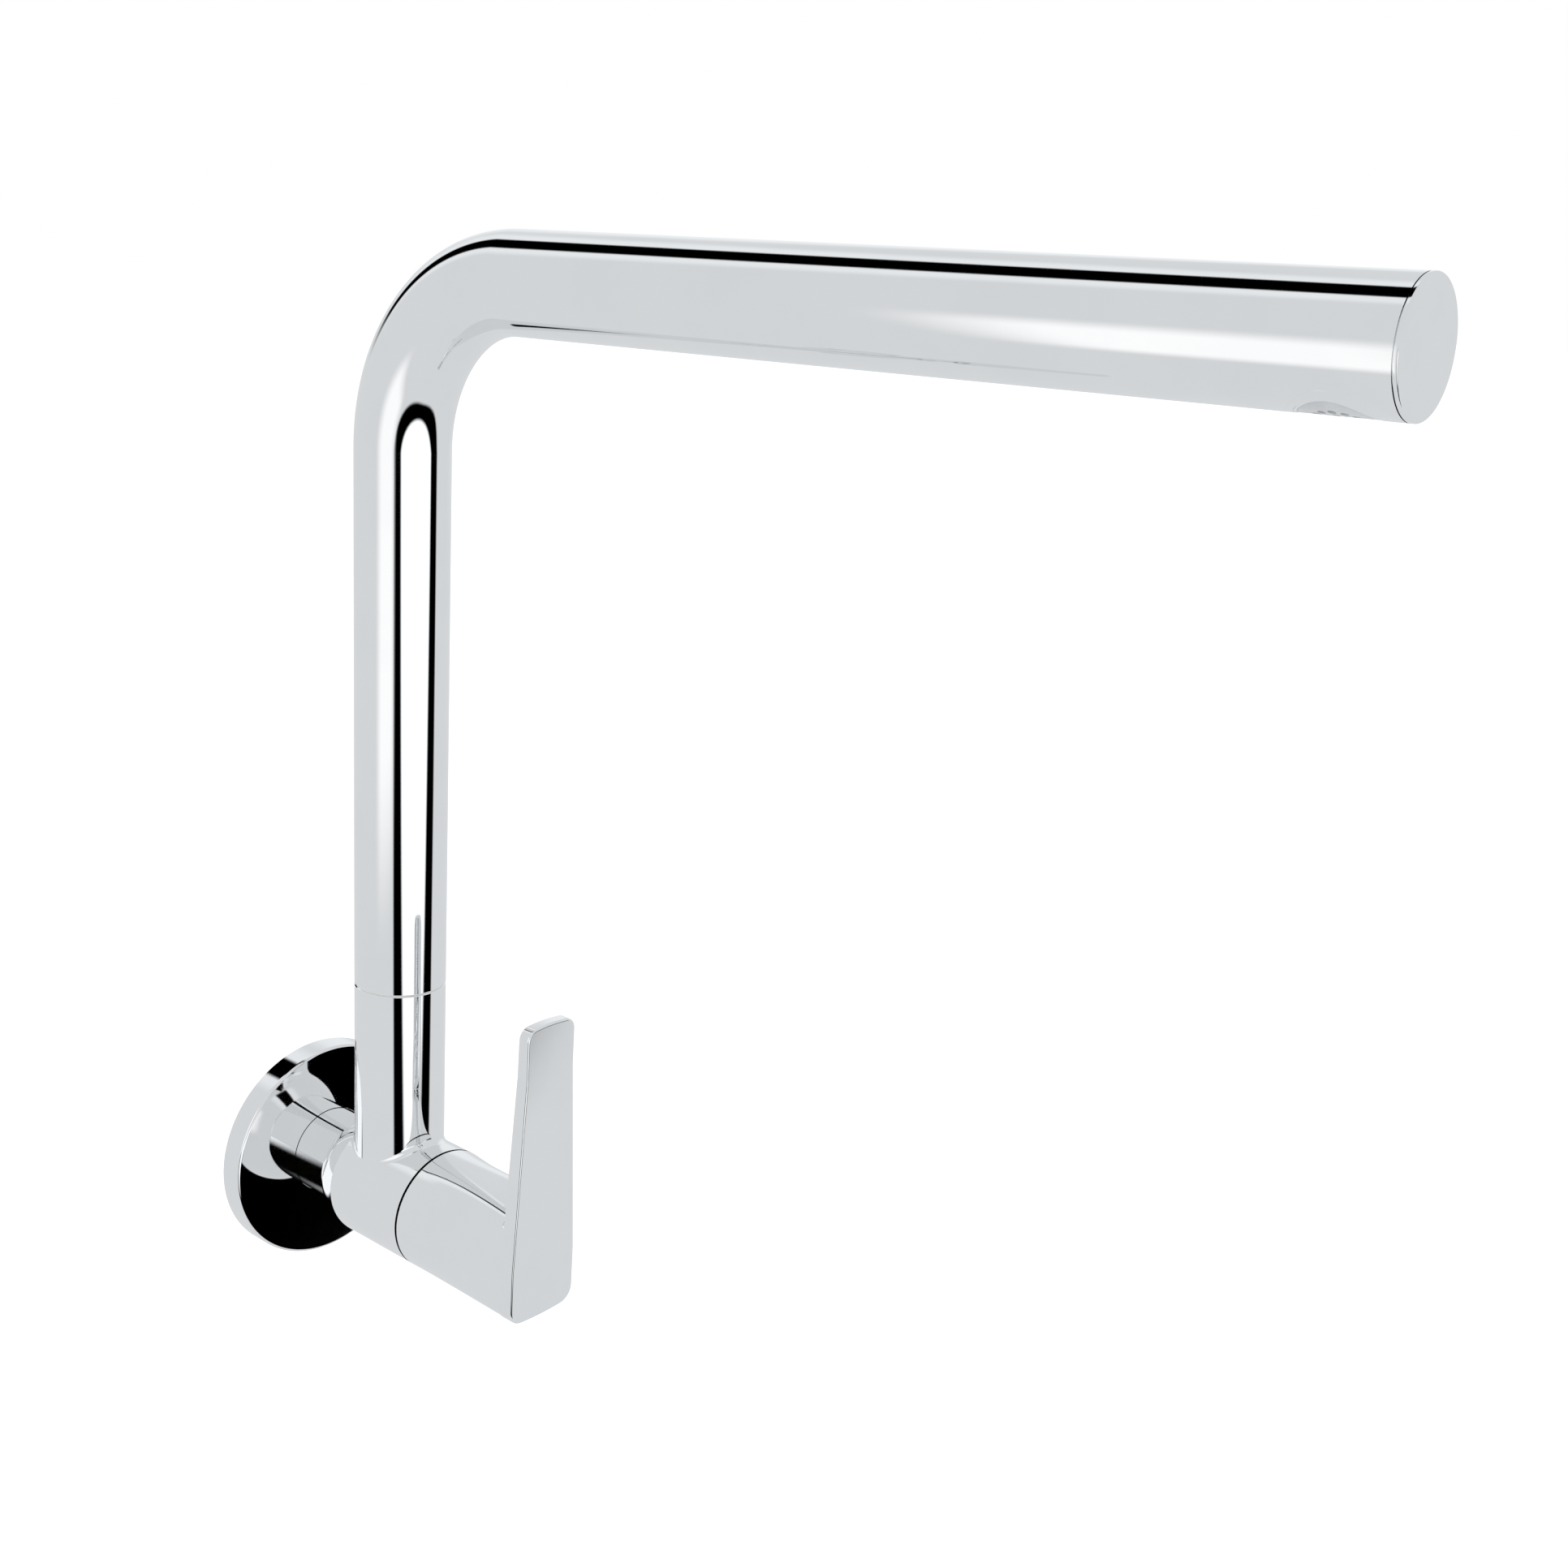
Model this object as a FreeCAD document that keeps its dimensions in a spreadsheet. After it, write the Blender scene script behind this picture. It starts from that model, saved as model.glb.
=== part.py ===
import FreeCAD, Part
import math
import os
import re
import Sketcher

# Wall mounted single lever sink tap with a swinging tube spout.
# Wall plane y = 0, inlet axis along -Y out of the wall, Z up.  Sizes in mm.

doc = FreeCAD.newDocument("wall_tap")
os.makedirs("parts", exist_ok=True)

SIZES = [
    # body casting
    ("body_dia", 34.0, "outside of the horizontal body"),
    ("body_front", 58.0, "wall to the front face of the body"),
    ("dome_centre", 31.1, "wall to the centre of the domed back"),
    ("stem_out", 39.0, "wall to the upright stem axis"),
    ("stem_dia", 25.0, "outside of the upright stem"),
    ("stem_top", 62.6, "top of the stem above the inlet axis"),
    ("stem_fillet", 2.0, "fillet where stem meets body"),
    ("neck_dia", 25.0, "neck between flange and dome"),
    ("neck_back", 2.0, "wall to the back end of the neck"),
    ("stem_bore", 19.0, "bore the spout turns in"),
    ("stem_bore_floor", 22.0, "floor of the spout bore"),
    ("waterway", 12.0, "drilled waterways"),
    ("seat_out", 32.0, "wall to the headwork seat"),
    ("seat_bore", 19.2, "bore round the headwork nose"),
    ("gallery_dia", 24.0, "water gallery round the headwork"),
    ("gallery_start", 35.0, "wall to the start of the gallery"),
    ("gallery_end", 46.0, "wall to the end of the gallery"),
    # flange and inlet
    ("flange_dia", 64.0, "wall flange outside"),
    ("flange_depth", 7.0, "wall flange depth"),
    ("flange_wall", 1.2, "wall flange sheet"),
    ("flange_round", 0.8, "wall flange front edge"),
    ("flange_fit", 0.15, "radial play of flange on neck"),
    ("collar_back", 1.6, "wall to the back of the flange collar"),
    ("thread_dia", 20.955, "G 1/2 major diameter"),
    ("thread_play", 0.0225, "radial play drawn between plain threads"),
    ("inlet_len", 16.0, "thread standing behind the wall plane"),
    ("nipple_front", 14.0, "wall to the front end of the nipple"),
    ("nipple_bore", 14.0, "nipple bore"),
    ("nipple_socket", 14.6, "across flats of the key socket"),
    ("socket_len", 8.0, "depth of the key socket"),
    ("thread_lead", 0.5, "bevel at the ends of the threads"),
    ("relief_dia", 18.4, "thread relief between the nipple's two threads"),
    ("ring_thin", 1.0, "section of the flange ring"),
    # headwork
    ("nose_dia", 18.5, "headwork disc housing outside"),
    ("nose_bore", 16.0, "headwork disc housing bore"),
    ("thread_start", 47.0, "wall to the start of the headwork thread"),
    ("head_flange_dia", 25.0, "headwork flange"),
    ("head_flange", 2.0, "headwork flange thickness"),
    ("head_hex", 19.0, "headwork hexagon across flats"),
    ("head_hex_len", 5.7, "headwork hexagon length"),
    ("head_neck_dia", 14.0, "headwork nose in front of the hexagon"),
    ("head_end", 68.0, "wall to the front end of the headwork"),
    ("washer_room", 1.0, "room for the thrust washer"),
    ("seal_len", 2.5, "seat seal length"),
    ("disc_len", 3.0, "ceramic disc thickness"),
    ("disc_play", 0.05, "play between turning faces"),
    ("disc_dia", 15.7, "ceramic disc outside"),
    ("port_out", 12.6, "outer diameter of the disc ports"),
    ("port_in", 4.0, "inner diameter of the disc ports"),
    ("port_angle", 80.0, "opening angle of each disc port"),
    ("window_angle", 70.0, "opening angle of each headwork window"),
    ("driver_len", 2.6, "spindle driver thickness"),
    ("driver_dia", 15.4, "spindle driver outside"),
    ("spindle_dia", 10.0, "spindle shaft"),
    ("spindle_play", 0.05, "radial play of the spindle"),
    ("spindle_end", 80.0, "wall to the front end of the spindle"),
    ("spline_dia", 7.9, "spline outside"),
    ("spline_depth", 0.45, "spline tooth depth"),
    ("spline_teeth", 20.0, "spline teeth"),
    ("clip_len", 1.0, "retaining clip thickness"),
    ("ring_mid", 1.8, "section of the sealing rings"),
    # handle
    ("joint_gap", 0.8, "gap between body and handle"),
    ("hub_bore", 27.0, "hollow of the handle hub"),
    ("hub_floor", 70.0, "wall to the floor of the hub hollow"),
    ("insert_dia", 12.8, "splined insert outside"),
    ("insert_front", 81.0, "wall to the front of the insert"),
    ("hub_end", 95.0, "wall to the plane where the hub meets the lever"),
    ("hub_top", 15.0, "top of the hub at the lever"),
    ("lever_half", 11.25, "half width of the lever at the hub"),
    ("lever_tip_half", 8.3, "half width of the lever at its tip"),
    ("lever_bottom", 15.9, "lever bottom below the axis"),
    ("lever_taper_end", 55.0, "height where the lever taper stops"),
    ("lever_top", 68.3, "lever top above the axis"),
    ("lever_front", 98.8, "wall to the lever face at its bottom"),
    ("lever_lean", 1.3, "extra reach of the lever face at its top"),
    ("lever_thick_low", 5.0, "lever thickness at the hub"),
    ("lever_thick_top", 3.5, "lever thickness at the tip"),
    ("lever_low_round", 4.5, "bottom corner radius"),
    ("lever_tip_round", 3.4, "top corner radius"),
    ("lever_edge", 0.6, "rounding of the lever face edges"),
    ("lever_low_crown", 90.0, "radius of the crowned bottom edge"),
    ("lever_tip_crown", 24.9, "radius of the crowned top edge"),
    ("hub_inset", 0.08, "step of the hub end inside the lever outline"),
    ("hub_fillet", 4.0, "blend between lever and hub top"),
    ("hub_blend_foot", 90.4, "wall to the foot of the blend"),
    ("hub_blend_half", 6.2, "half width of the blend"),
    ("shoulder_round", 5.0, "rounding between the hub's top facet and its sides"),
    ("grub_dia", 5.0, "set screw thread"),
    ("grub_out", 75.0, "wall to the handle set screw"),
    ("grub_len", 8.0, "handle set screw length"),
    # spout
    ("tube_dia", 25.0, "spout tube outside"),
    ("tube_wall", 1.2, "spout tube wall"),
    ("rise", 252.5, "spout arm axis above the inlet axis"),
    ("bend", 43.3, "spout bend centre line radius"),
    ("reach", 265.0, "stem axis to the end face of the spout"),
    ("seam", 0.5, "seam between stem and spout"),
    ("spigot_play", 0.1, "radial play of the spigot"),
    ("spigot_foot", 24.0, "foot of the spigot above the inlet axis"),
    ("spigot_wall", 3.5, "wall of the spigot round its waterway"),
    ("spigot_top", 76.0, "top of the spigot above the inlet axis"),
    ("braze_play", 0.03, "radial gap of brazed joints"),
    ("stop_up", 45.0, "stop screw above the inlet axis"),
    ("stop_height", 3.4, "height of the stop groove"),
    ("stop_depth", 2.1, "depth of the stop groove"),
    ("stop_angle", 206.0, "length of the stop groove in degrees"),
    ("dog_dia", 3.0, "stop screw point"),
    ("ring_low", 32.0, "lower spigot ring above the inlet axis"),
    ("ring_high", 38.0, "upper spigot ring above the inlet axis"),
    ("glide_up", 27.0, "glide ring above the inlet axis"),
    ("glide_len", 2.4, "glide ring height"),
    ("cap_len", 1.0, "end cap plate"),
    ("cap_plug", 2.5, "end cap plug"),
    ("cap_edge", 0.3, "rounding of the end cap's rim"),
    ("outlet_back", 13.5, "outlet axis behind the end face"),
    ("seat_dia", 19.2, "aerator seat outside"),
    ("seat_lip", 1.6, "lip of the seat under the washer"),
    ("seat_floor", 1.0, "thickness of the seat's lip"),
    ("aerator_dia", 16.4, "aerator outside"),
    ("aerator_play", 0.1, "radial play of the aerator"),
    ("aerator_inset", 0.1, "how far the aerator's saddle lies inside the arm's skin"),
    ("aerator_wall", 0.6, "aerator housing wall"),
    ("aerator_len", 5.6, "aerator housing height"),
    ("washer_len", 1.2, "aerator washer thickness"),
    ("comb_cell", 1.5, "round cells of the aerator insert"),
    ("screen_mesh", 0.7, "round holes of the aerator screen"),
]

dims = doc.addObject("Spreadsheet::Sheet", "dims")
for row, (alias, size, note) in enumerate(SIZES, start=1):
    dims.set(f"A{row}", note)
    dims.set(f"B{row}", repr(size))
    dims.setAlias(f"B{row}", alias)
doc.recompute()
NAMES = {alias for alias, _, _ in SIZES}

# Places worked out from the sheet: the stack inside the headwork, the spigot and the outlet.
WORKED_OUT = {
    "fixed_back": "(seat_out + seal_len)",
    "fixed_front": "(fixed_back + disc_len)",
    "moving_back": "(fixed_front + disc_play)",
    "moving_front": "(moving_back + disc_len)",
    "driver_back": "(moving_front + disc_play)",
    "driver_front": "(driver_back + driver_len)",
    "shoulder_out": "(driver_front + washer_room)",
    "bore_radius": "(stem_bore/2)",
    "spigot_radius": "(bore_radius - spigot_play)",
    "stop_floor": "(bore_radius - stop_depth)",
    "spigot_bore": "(bore_radius - spigot_wall)",
    "tube_inside": "(tube_dia/2 - tube_wall)",
    "spout_foot": "(stem_top + seam)",
    "aerator_foot": "(aerator_inset - tube_dia/2)",
    "aerator_head": "(aerator_foot + aerator_len)",
    "washer_head": "(aerator_head + washer_len)",
}


def bound(text):
    """Expression text with worked out names spelled out and every size name pointed at the sheet."""
    def spell(match):
        word = match.group(0)
        if word in WORKED_OUT:
            return bound(WORKED_OUT[word])
        return "dims." + word if word in NAMES else word
    return re.sub(r"[a-z][a-z_]*", spell, text)


def val(text):
    """Number an expression stands for now."""
    got = dims.evalExpression(bound(text))
    return float(getattr(got, "Value", got))


def body(name, frame):
    """New body: frame 'tap' draws x right, y up, z out of the wall; 'spout' stands on the stem axis, z up."""
    made = doc.addObject("PartDesign::Body", name)
    made.Label = name
    place(made, frame)
    return made


def place(obj, frame):
    """Put an object drawn in the tap or spout frame into the shared frame."""
    if frame == "tap":
        obj.Placement = FreeCAD.Placement(FreeCAD.Vector(), FreeCAD.Rotation(FreeCAD.Vector(1, 0, 0), 90))
    else:
        obj.setExpression("Placement.Base.y", bound("-stem_out"))


def pin(sketch, geo, pos, x, y):
    """Fix one point of a sketch at two expressions."""
    for kind, text, axis in (("DistanceX", x, -2), ("DistanceY", y, -1)):
        if text == "0":
            sketch.addConstraint(Sketcher.Constraint("PointOnObject", geo, pos, axis))
        else:
            at = sketch.addConstraint(Sketcher.Constraint(kind, -1, 1, geo, pos, val(text)))
            sketch.setExpression(f"Constraints[{at}]", bound(text))


def arc(start, end, radius, turn):
    """Minor arc between two points; turn is +1 counter-clockwise, -1 clockwise."""
    mid = (start + end) * 0.5
    chord = end - start
    rise = math.sqrt(max(radius ** 2 - (chord.Length / 2) ** 2, 0.0))
    side = FreeCAD.Vector(-chord.y, chord.x, 0).normalize() * (rise * turn)
    centre = mid + side
    angles = [math.atan2(p.y - centre.y, p.x - centre.x) for p in (start, end)]
    if turn < 0:
        angles.reverse()
    if angles[1] < angles[0]:
        angles[1] += 2 * math.pi
    return Part.ArcOfCircle(Part.Circle(centre, FreeCAD.Vector(0, 0, 1), radius), *angles)


def loop(sketch, points, arcs=None):
    """Closed outline; arcs gives {segment: (radius expression, turn)}."""
    arcs = arcs or {}
    where = [FreeCAD.Vector(val(x), val(y), 0) for x, y in points]
    made = []
    for i, start in enumerate(where):
        end = where[(i + 1) % len(where)]
        if i in arcs:
            radius, turn = arcs[i]
            geo = sketch.addGeometry(arc(start, end, val(radius), turn))
            made.append((geo, 1, 2) if turn > 0 else (geo, 2, 1))
        else:
            made.append((sketch.addGeometry(Part.LineSegment(start, end)), 1, 2))
    for i, (geo, first, _) in enumerate(made):
        pin(sketch, geo, first, *points[i])
        before = made[i - 1]
        sketch.addConstraint(Sketcher.Constraint("Coincident", before[0], before[2], geo, first))
        if i in arcs:
            at = sketch.addConstraint(Sketcher.Constraint("Radius", geo, val(arcs[i][0])))
            sketch.setExpression(f"Constraints[{at}]", bound(arcs[i][0]))


def ring(sketch, dia, x="0", y="0"):
    """Circle of a diameter expression."""
    centre = FreeCAD.Vector(val(x), val(y), 0)
    geo = sketch.addGeometry(Part.Circle(centre, FreeCAD.Vector(0, 0, 1), val(dia) / 2))
    if x == "0" and y == "0":
        sketch.addConstraint(Sketcher.Constraint("Coincident", geo, 3, -1, 1))
    else:
        pin(sketch, geo, 3, x, y)
    at = sketch.addConstraint(Sketcher.Constraint("Diameter", geo, val(dia)))
    sketch.setExpression(f"Constraints[{at}]", bound(dia))


def hexagon(sketch, flats, y="0"):
    """Regular hexagon, flats left and right, its middle at a height y."""
    half = f"({flats})/2"
    edge = f"({flats})*0.2886751"
    loop(sketch, [(half, f"{y} + {edge}"), ("0", f"{y} + 2*{edge}"), (f"-{half}", f"{y} + {edge}"),
                  (f"-{half}", f"{y} - {edge}"), ("0", f"{y} - 2*{edge}"), (half, f"{y} - {edge}")])


def sector(sketch, inner, outer, angle, middle):
    """Ring sector between two diameters, centred on an angle in degrees."""
    def at(dia, sign):
        turned = f"({middle} deg {'+' if sign > 0 else '-'} ({angle})/2*1 deg)"
        return (f"({dia})/2*cos({turned})", f"({dia})/2*sin({turned})")
    loop(sketch, [at(inner, -1), at(outer, -1), at(outer, 1), at(inner, 1)],
         {1: (f"({outer})/2", 1), 3: (f"({inner})/2", -1)})


def sketch_on(part, name, role, lift=None):
    """Empty sketch on an origin plane of the body."""
    made = part.newObject("Sketcher::SketchObject", name)
    plane = [f for f in part.Origin.OriginFeatures if f.Role == role][0]
    made.AttachmentSupport = [(plane, "")]
    made.MapMode = "FlatFace"
    if lift:
        made.setExpression("AttachmentOffset.Base.z", bound(lift))
    return made


def turn(part, name, points, arcs=None, cut=False, angle=None):
    """Revolve (or groove) a radius/height outline about the body's Z axis."""
    outline = sketch_on(part, name + "_outline", "XZ_Plane")
    loop(outline, points, arcs)
    made = part.newObject("PartDesign::Groove" if cut else "PartDesign::Revolution", name)
    made.Profile = outline
    made.ReferenceAxis = (outline, ["V_Axis"])
    made.Angle = 360
    if angle:
        made.Midplane = True
        made.setExpression("Angle", bound(angle))
    return made


def tube_turn(part, name, inner, outer, low, high, **more):
    """Revolve a plain rectangle between two radii."""
    return turn(part, name, [(inner, low), (outer, low), (outer, high), (inner, high)], **more)


def pull(part, name, draw, role, lift, length, cut=False, back=False, both=False):
    """Pad (or pocket) what draw() puts in a lifted sketch; back flips the way it runs."""
    outline = sketch_on(part, name + "_outline", role, lift)
    draw(outline)
    made = part.newObject("PartDesign::Pocket" if cut else "PartDesign::Pad", name)
    made.Profile = outline
    made.setExpression("Length", bound(length))
    made.Reversed = back
    made.Midplane = both
    return made


def around(part, name, feature, count):
    """Repeat a feature about the body's Z axis."""
    made = part.newObject("PartDesign::PolarPattern", name)
    made.Originals = [feature]
    made.Axis = (feature.Profile[0], ["N_Axis"])
    made.Angle = 360
    made.setExpression("Occurrences", bound(count))
    part.Tip = made
    return made


def fillet(part, name, radius, wanted):
    """Round the edges of the last feature that wanted() picks."""
    doc.recompute()
    base = part.Tip
    picked = [f"Edge{i}" for i, edge in enumerate(base.Shape.Edges, start=1) if wanted(edge)]
    made = part.newObject("PartDesign::Fillet", name)
    made.Base = (base, picked)
    made.setExpression("Radius", bound(radius))
    part.Tip = made
    return made


def o_rings(name, frame, bores, section, heights):
    """Sealing rings: torus solids at one or more heights, one node."""
    tori = []
    for n, height in enumerate(heights):
        torus = doc.addObject("Part::Torus", f"{name}_{n + 1}")
        torus.setExpression("Radius1", bound(f"({bores})/2 + ({section})/2"))
        torus.setExpression("Radius2", bound(f"({section})/2"))
        torus.setExpression("Placement.Base.z", bound(height))
        tori.append(torus)
    made = doc.addObject("Part::Compound", name)
    made.Links = tori
    made.Label = name
    place(made, frame)
    return made


# ---------------------------------------------------------------- root pieces

valve = body("valve_body", "tap")
turn(valve, "shell", [("0", "neck_back"), ("neck_dia/2", "neck_back"),
                      ("neck_dia/2", "dome_centre - sqrt((body_dia/2)^2 - (neck_dia/2)^2)"),
                      ("body_dia/2", "dome_centre"), ("body_dia/2", "body_front"), ("0", "body_front")],
     {2: ("body_dia/2", 1)})
pull(valve, "stem", lambda s: ring(s, "stem_dia", "0", "stem_out"), "XZ_Plane", None, "stem_top", back=True)


def at_stem_foot(edge):
    """Edges of the crossing between the stem and the body cylinder or dome."""
    for u in (0.2, 0.5, 0.8):
        p = edge.valueAt(edge.FirstParameter + u * (edge.LastParameter - edge.FirstParameter))
        off = math.hypot(p.x, p.z - val("stem_out"))
        if abs(off - val("stem_dia/2")) > 0.05 or p.y < 5 or p.y > val("body_dia/2") + 0.1:
            return False
    return "Line" not in edge.Curve.TypeId


fillet(valve, "stem_foot", "stem_fillet", at_stem_foot)
turn(valve, "inlet_bore", [("0", "neck_back - 1"), ("thread_dia/2 + thread_play", "neck_back - 1"),
                           ("thread_dia/2 + thread_play", "nipple_front + 0.5"),
                           ("waterway/2", "nipple_front + 3"), ("waterway/2", "seat_out + 1"),
                           ("0", "seat_out + 1")], cut=True)
turn(valve, "chamber", [("0", "seat_out"), ("seat_bore/2", "seat_out"), ("seat_bore/2", "gallery_start"),
                        ("gallery_dia/2", "gallery_start"), ("gallery_dia/2", "gallery_end"),
                        ("thread_dia/2 + thread_play", "gallery_end"),
                        ("thread_dia/2 + thread_play", "body_front + 1"), ("0", "body_front + 1")], cut=True)
pull(valve, "spout_bore", lambda s: ring(s, "stem_bore", "0", "stem_out"), "XZ_Plane", "-(stem_top + 1)",
     "stem_top + 1 - stem_bore_floor", cut=True, back=True)
pull(valve, "riser", lambda s: ring(s, "waterway - 2", "0", "stem_out"), "XZ_Plane", "-(stem_bore_floor + 1)",
     "stem_bore_floor - gallery_dia/2 + 4", cut=True, back=True)
pull(valve, "stop_hole", lambda s: ring(s, "grub_dia + 2*thread_play", "0", "stop_up"), "XY_Plane",
     "stem_out - stem_dia/2 - 1", "stem_dia/2", cut=True, back=True)
tube_turn(valve, "ring_groove", "neck_dia/2 - ring_thin + 0.1", "neck_dia/2 + 1", "flange_depth - 4.2",
          "flange_depth - 2.9", cut=True)

flange = body("wall_flange", "tap")
turn(flange, "shell", [("flange_dia/2 - flange_wall", "0"), ("flange_dia/2", "0"),
                       ("flange_dia/2", "flange_depth - flange_round"),
                       ("flange_dia/2 - flange_round", "flange_depth"),
                       ("neck_dia/2 + flange_fit", "flange_depth"), ("neck_dia/2 + flange_fit", "collar_back"),
                       ("neck_dia/2 + flange_fit + flange_wall", "collar_back"),
                       ("neck_dia/2 + flange_fit + flange_wall", "flange_depth - flange_wall"),
                       ("flange_dia/2 - flange_wall", "flange_depth - flange_wall")],
     {2: ("flange_round", 1)})
o_rings("flange_o_ring", "tap", "neck_dia - 2*ring_thin + 0.2", "ring_thin", ["flange_depth - 3.55"])

nipple = body("inlet_nipple", "tap")
turn(nipple, "barrel", [("nipple_bore/2", "-inlet_len"), ("thread_dia/2 - thread_lead", "-inlet_len"),
                        ("thread_dia/2", "thread_lead - inlet_len"), ("thread_dia/2", "0"),
                        ("relief_dia/2", "0"), ("relief_dia/2", "neck_back"), ("thread_dia/2", "neck_back"),
                        ("thread_dia/2", "nipple_front - thread_lead"),
                        ("thread_dia/2 - thread_lead", "nipple_front"), ("nipple_bore/2", "nipple_front")])
pull(nipple, "key_socket", lambda s: hexagon(s, "nipple_socket"), "XY_Plane", "nipple_front + 1",
     "socket_len + 1", cut=True)

head = body("headwork_body", "tap")
turn(head, "barrel", [("nose_bore/2", "seat_out + 0.6"), ("nose_dia/2", "seat_out + 0.6"),
                      ("nose_dia/2", "thread_start"), ("thread_dia/2", "thread_start"),
                      ("thread_dia/2", "body_front"), ("head_flange_dia/2", "body_front"),
                      ("head_flange_dia/2", "body_front + head_flange"),
                      ("head_neck_dia/2", "body_front + head_flange"), ("head_neck_dia/2", "head_end"),
                      ("spindle_dia/2 + spindle_play", "head_end"),
                      ("spindle_dia/2 + spindle_play", "shoulder_out"), ("nose_bore/2", "shoulder_out")])
pull(head, "hexagon", lambda s: (hexagon(s, "head_hex"), ring(s, "head_neck_dia - 0.4")), "XY_Plane",
     "body_front + head_flange - 0.01", "head_hex_len + 0.01")
for n, middle in enumerate(["90", "270"]):
    pull(head, f"window_{n + 1}", lambda s, m=middle: sector(s, "nose_bore - 4", "nose_dia + 4", "window_angle", m),
         "XY_Plane", "fixed_front + 0.3", "disc_len + driver_len - 0.6", cut=True, back=True)
for n, middle in enumerate(["0", "180"]):
    pull(head, f"key_slot_{n + 1}", lambda s, m=middle: sector(s, "nose_bore - 2", "nose_dia + 2", "22", m),
         "XY_Plane", "seat_out", "seal_len + disc_len - 0.5", cut=True, back=True)
o_rings("headwork_o_ring", "tap", "thread_dia - 1.4", "1.4", ["body_front + 0.9"])
tube_turn(head, "flange_groove", "thread_dia/2 - 0.7", "thread_dia/2 + 0.72", "body_front - 0.1",
          "body_front + 1.62", cut=True)

seal = body("disc_seat_seal", "tap")
turn(seal, "lip_ring", [("port_out/2 + 0.2", "seat_out"), ("nose_bore/2 - 0.2", "seat_out"),
                        ("nose_bore/2 - 0.2", "fixed_back"), ("port_out/2 + 0.2", "fixed_back"),
                        ("port_out/2 - 0.3", "seat_out + seal_len/2")])

fixed = body("fixed_ceramic_disc", "tap")
pull(fixed, "disc", lambda s: ring(s, "disc_dia"), "XY_Plane", "fixed_back", "disc_len")
for n, middle in enumerate(["90", "270"]):
    pull(fixed, f"port_{n + 1}", lambda s, m=middle: sector(s, "port_in", "port_out", "port_angle", m),
         "XY_Plane", "fixed_back - 1", "disc_len + 2", cut=True, back=True)
for n, middle in enumerate(["0", "180"]):
    pull(fixed, f"key_{n + 1}", lambda s, m=middle: sector(s, "disc_dia - 2", "nose_dia - 0.6", "18", m),
         "XY_Plane", "fixed_back", "disc_len - 0.8")

moving = body("moving_ceramic_disc", "tap")
pull(moving, "disc", lambda s: ring(s, "disc_dia - 0.2"), "XY_Plane", "moving_back", "disc_len")
for n, middle in enumerate(["0", "180"]):
    pull(moving, f"mouth_{n + 1}", lambda s, m=middle: sector(s, "port_in", "disc_dia + 2", "port_angle", m),
         "XY_Plane", "fixed_front - 1", "disc_len + 3", cut=True, back=True)
for n, middle in enumerate(["90", "270"]):
    pull(moving, f"drive_slot_{n + 1}", lambda s, m=middle: sector(s, "8", "12", "34", m), "XY_Plane",
         "moving_front + 1", "2.4", cut=True)

spindle = body("spindle", "tap")
turn(spindle, "shaft", [("0", "driver_back"), ("driver_dia/2", "driver_back"),
                        ("driver_dia/2", "driver_front"), ("spindle_dia/2", "driver_front"),
                        ("spindle_dia/2", "head_end + clip_len + 1"), ("spline_dia/2", "head_end + clip_len + 1"),
                        ("spline_dia/2", "spindle_end - 0.5"), ("spline_dia/2 - 0.5", "spindle_end"),
                        ("0", "spindle_end")])
for n, middle in enumerate(["90", "270"]):
    pull(spindle, f"driver_lug_{n + 1}", lambda s, m=middle: sector(s, "8.4", "11.6", "28", m), "XY_Plane",
         "moving_front - 1.05", "1.6")
for n, low in enumerate(["thread_start + 1", "thread_start + 6"]):
    tube_turn(spindle, f"ring_groove_{n + 1}", "spindle_dia/2 - ring_mid + 0.05", "spindle_dia/2 + 1", low,
              f"{low} + ring_mid + 0.4", cut=True)
tube_turn(spindle, "clip_groove", "spindle_dia/2 - 0.7", "spindle_dia/2 + 1", "head_end + 0.08",
          "head_end + 0.12 + clip_len", cut=True)
tooth = pull(spindle, "spline_cut", lambda s: loop(s, [("spline_dia/2 - spline_depth", "0"),
                                                       ("spline_dia/2 + 0.2", "-0.45"),
                                                       ("spline_dia/2 + 0.2", "0.45")]), "XY_Plane",
             "spindle_end + 1", "spindle_end - head_end - clip_len", cut=True)
around(spindle, "spline", tooth, "spline_teeth")
o_rings("spindle_o_rings", "tap", "spindle_dia - 2*ring_mid + 0.1", "ring_mid",
        ["thread_start + 1.2 + ring_mid/2", "thread_start + 6.2 + ring_mid/2"])

washer = body("thrust_washer", "tap")
tube_turn(washer, "ring", "spindle_dia/2 + 0.1", "driver_dia/2 - 0.2",
          "driver_front", "shoulder_out - disc_play")

clip = body("spindle_clip", "tap")
tube_turn(clip, "ring", "spindle_dia/2 - 0.7", "spindle_dia/2 + 1.4", "head_end + 0.1",
          "head_end + 0.1 + clip_len")
pull(clip, "mouth", lambda s: sector(s, "2", "spindle_dia + 6", "60", "90"), "XY_Plane", "head_end - 1",
     "clip_len + 3", cut=True, back=True)

# --------------------------------------------------------------- handle pieces

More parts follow.
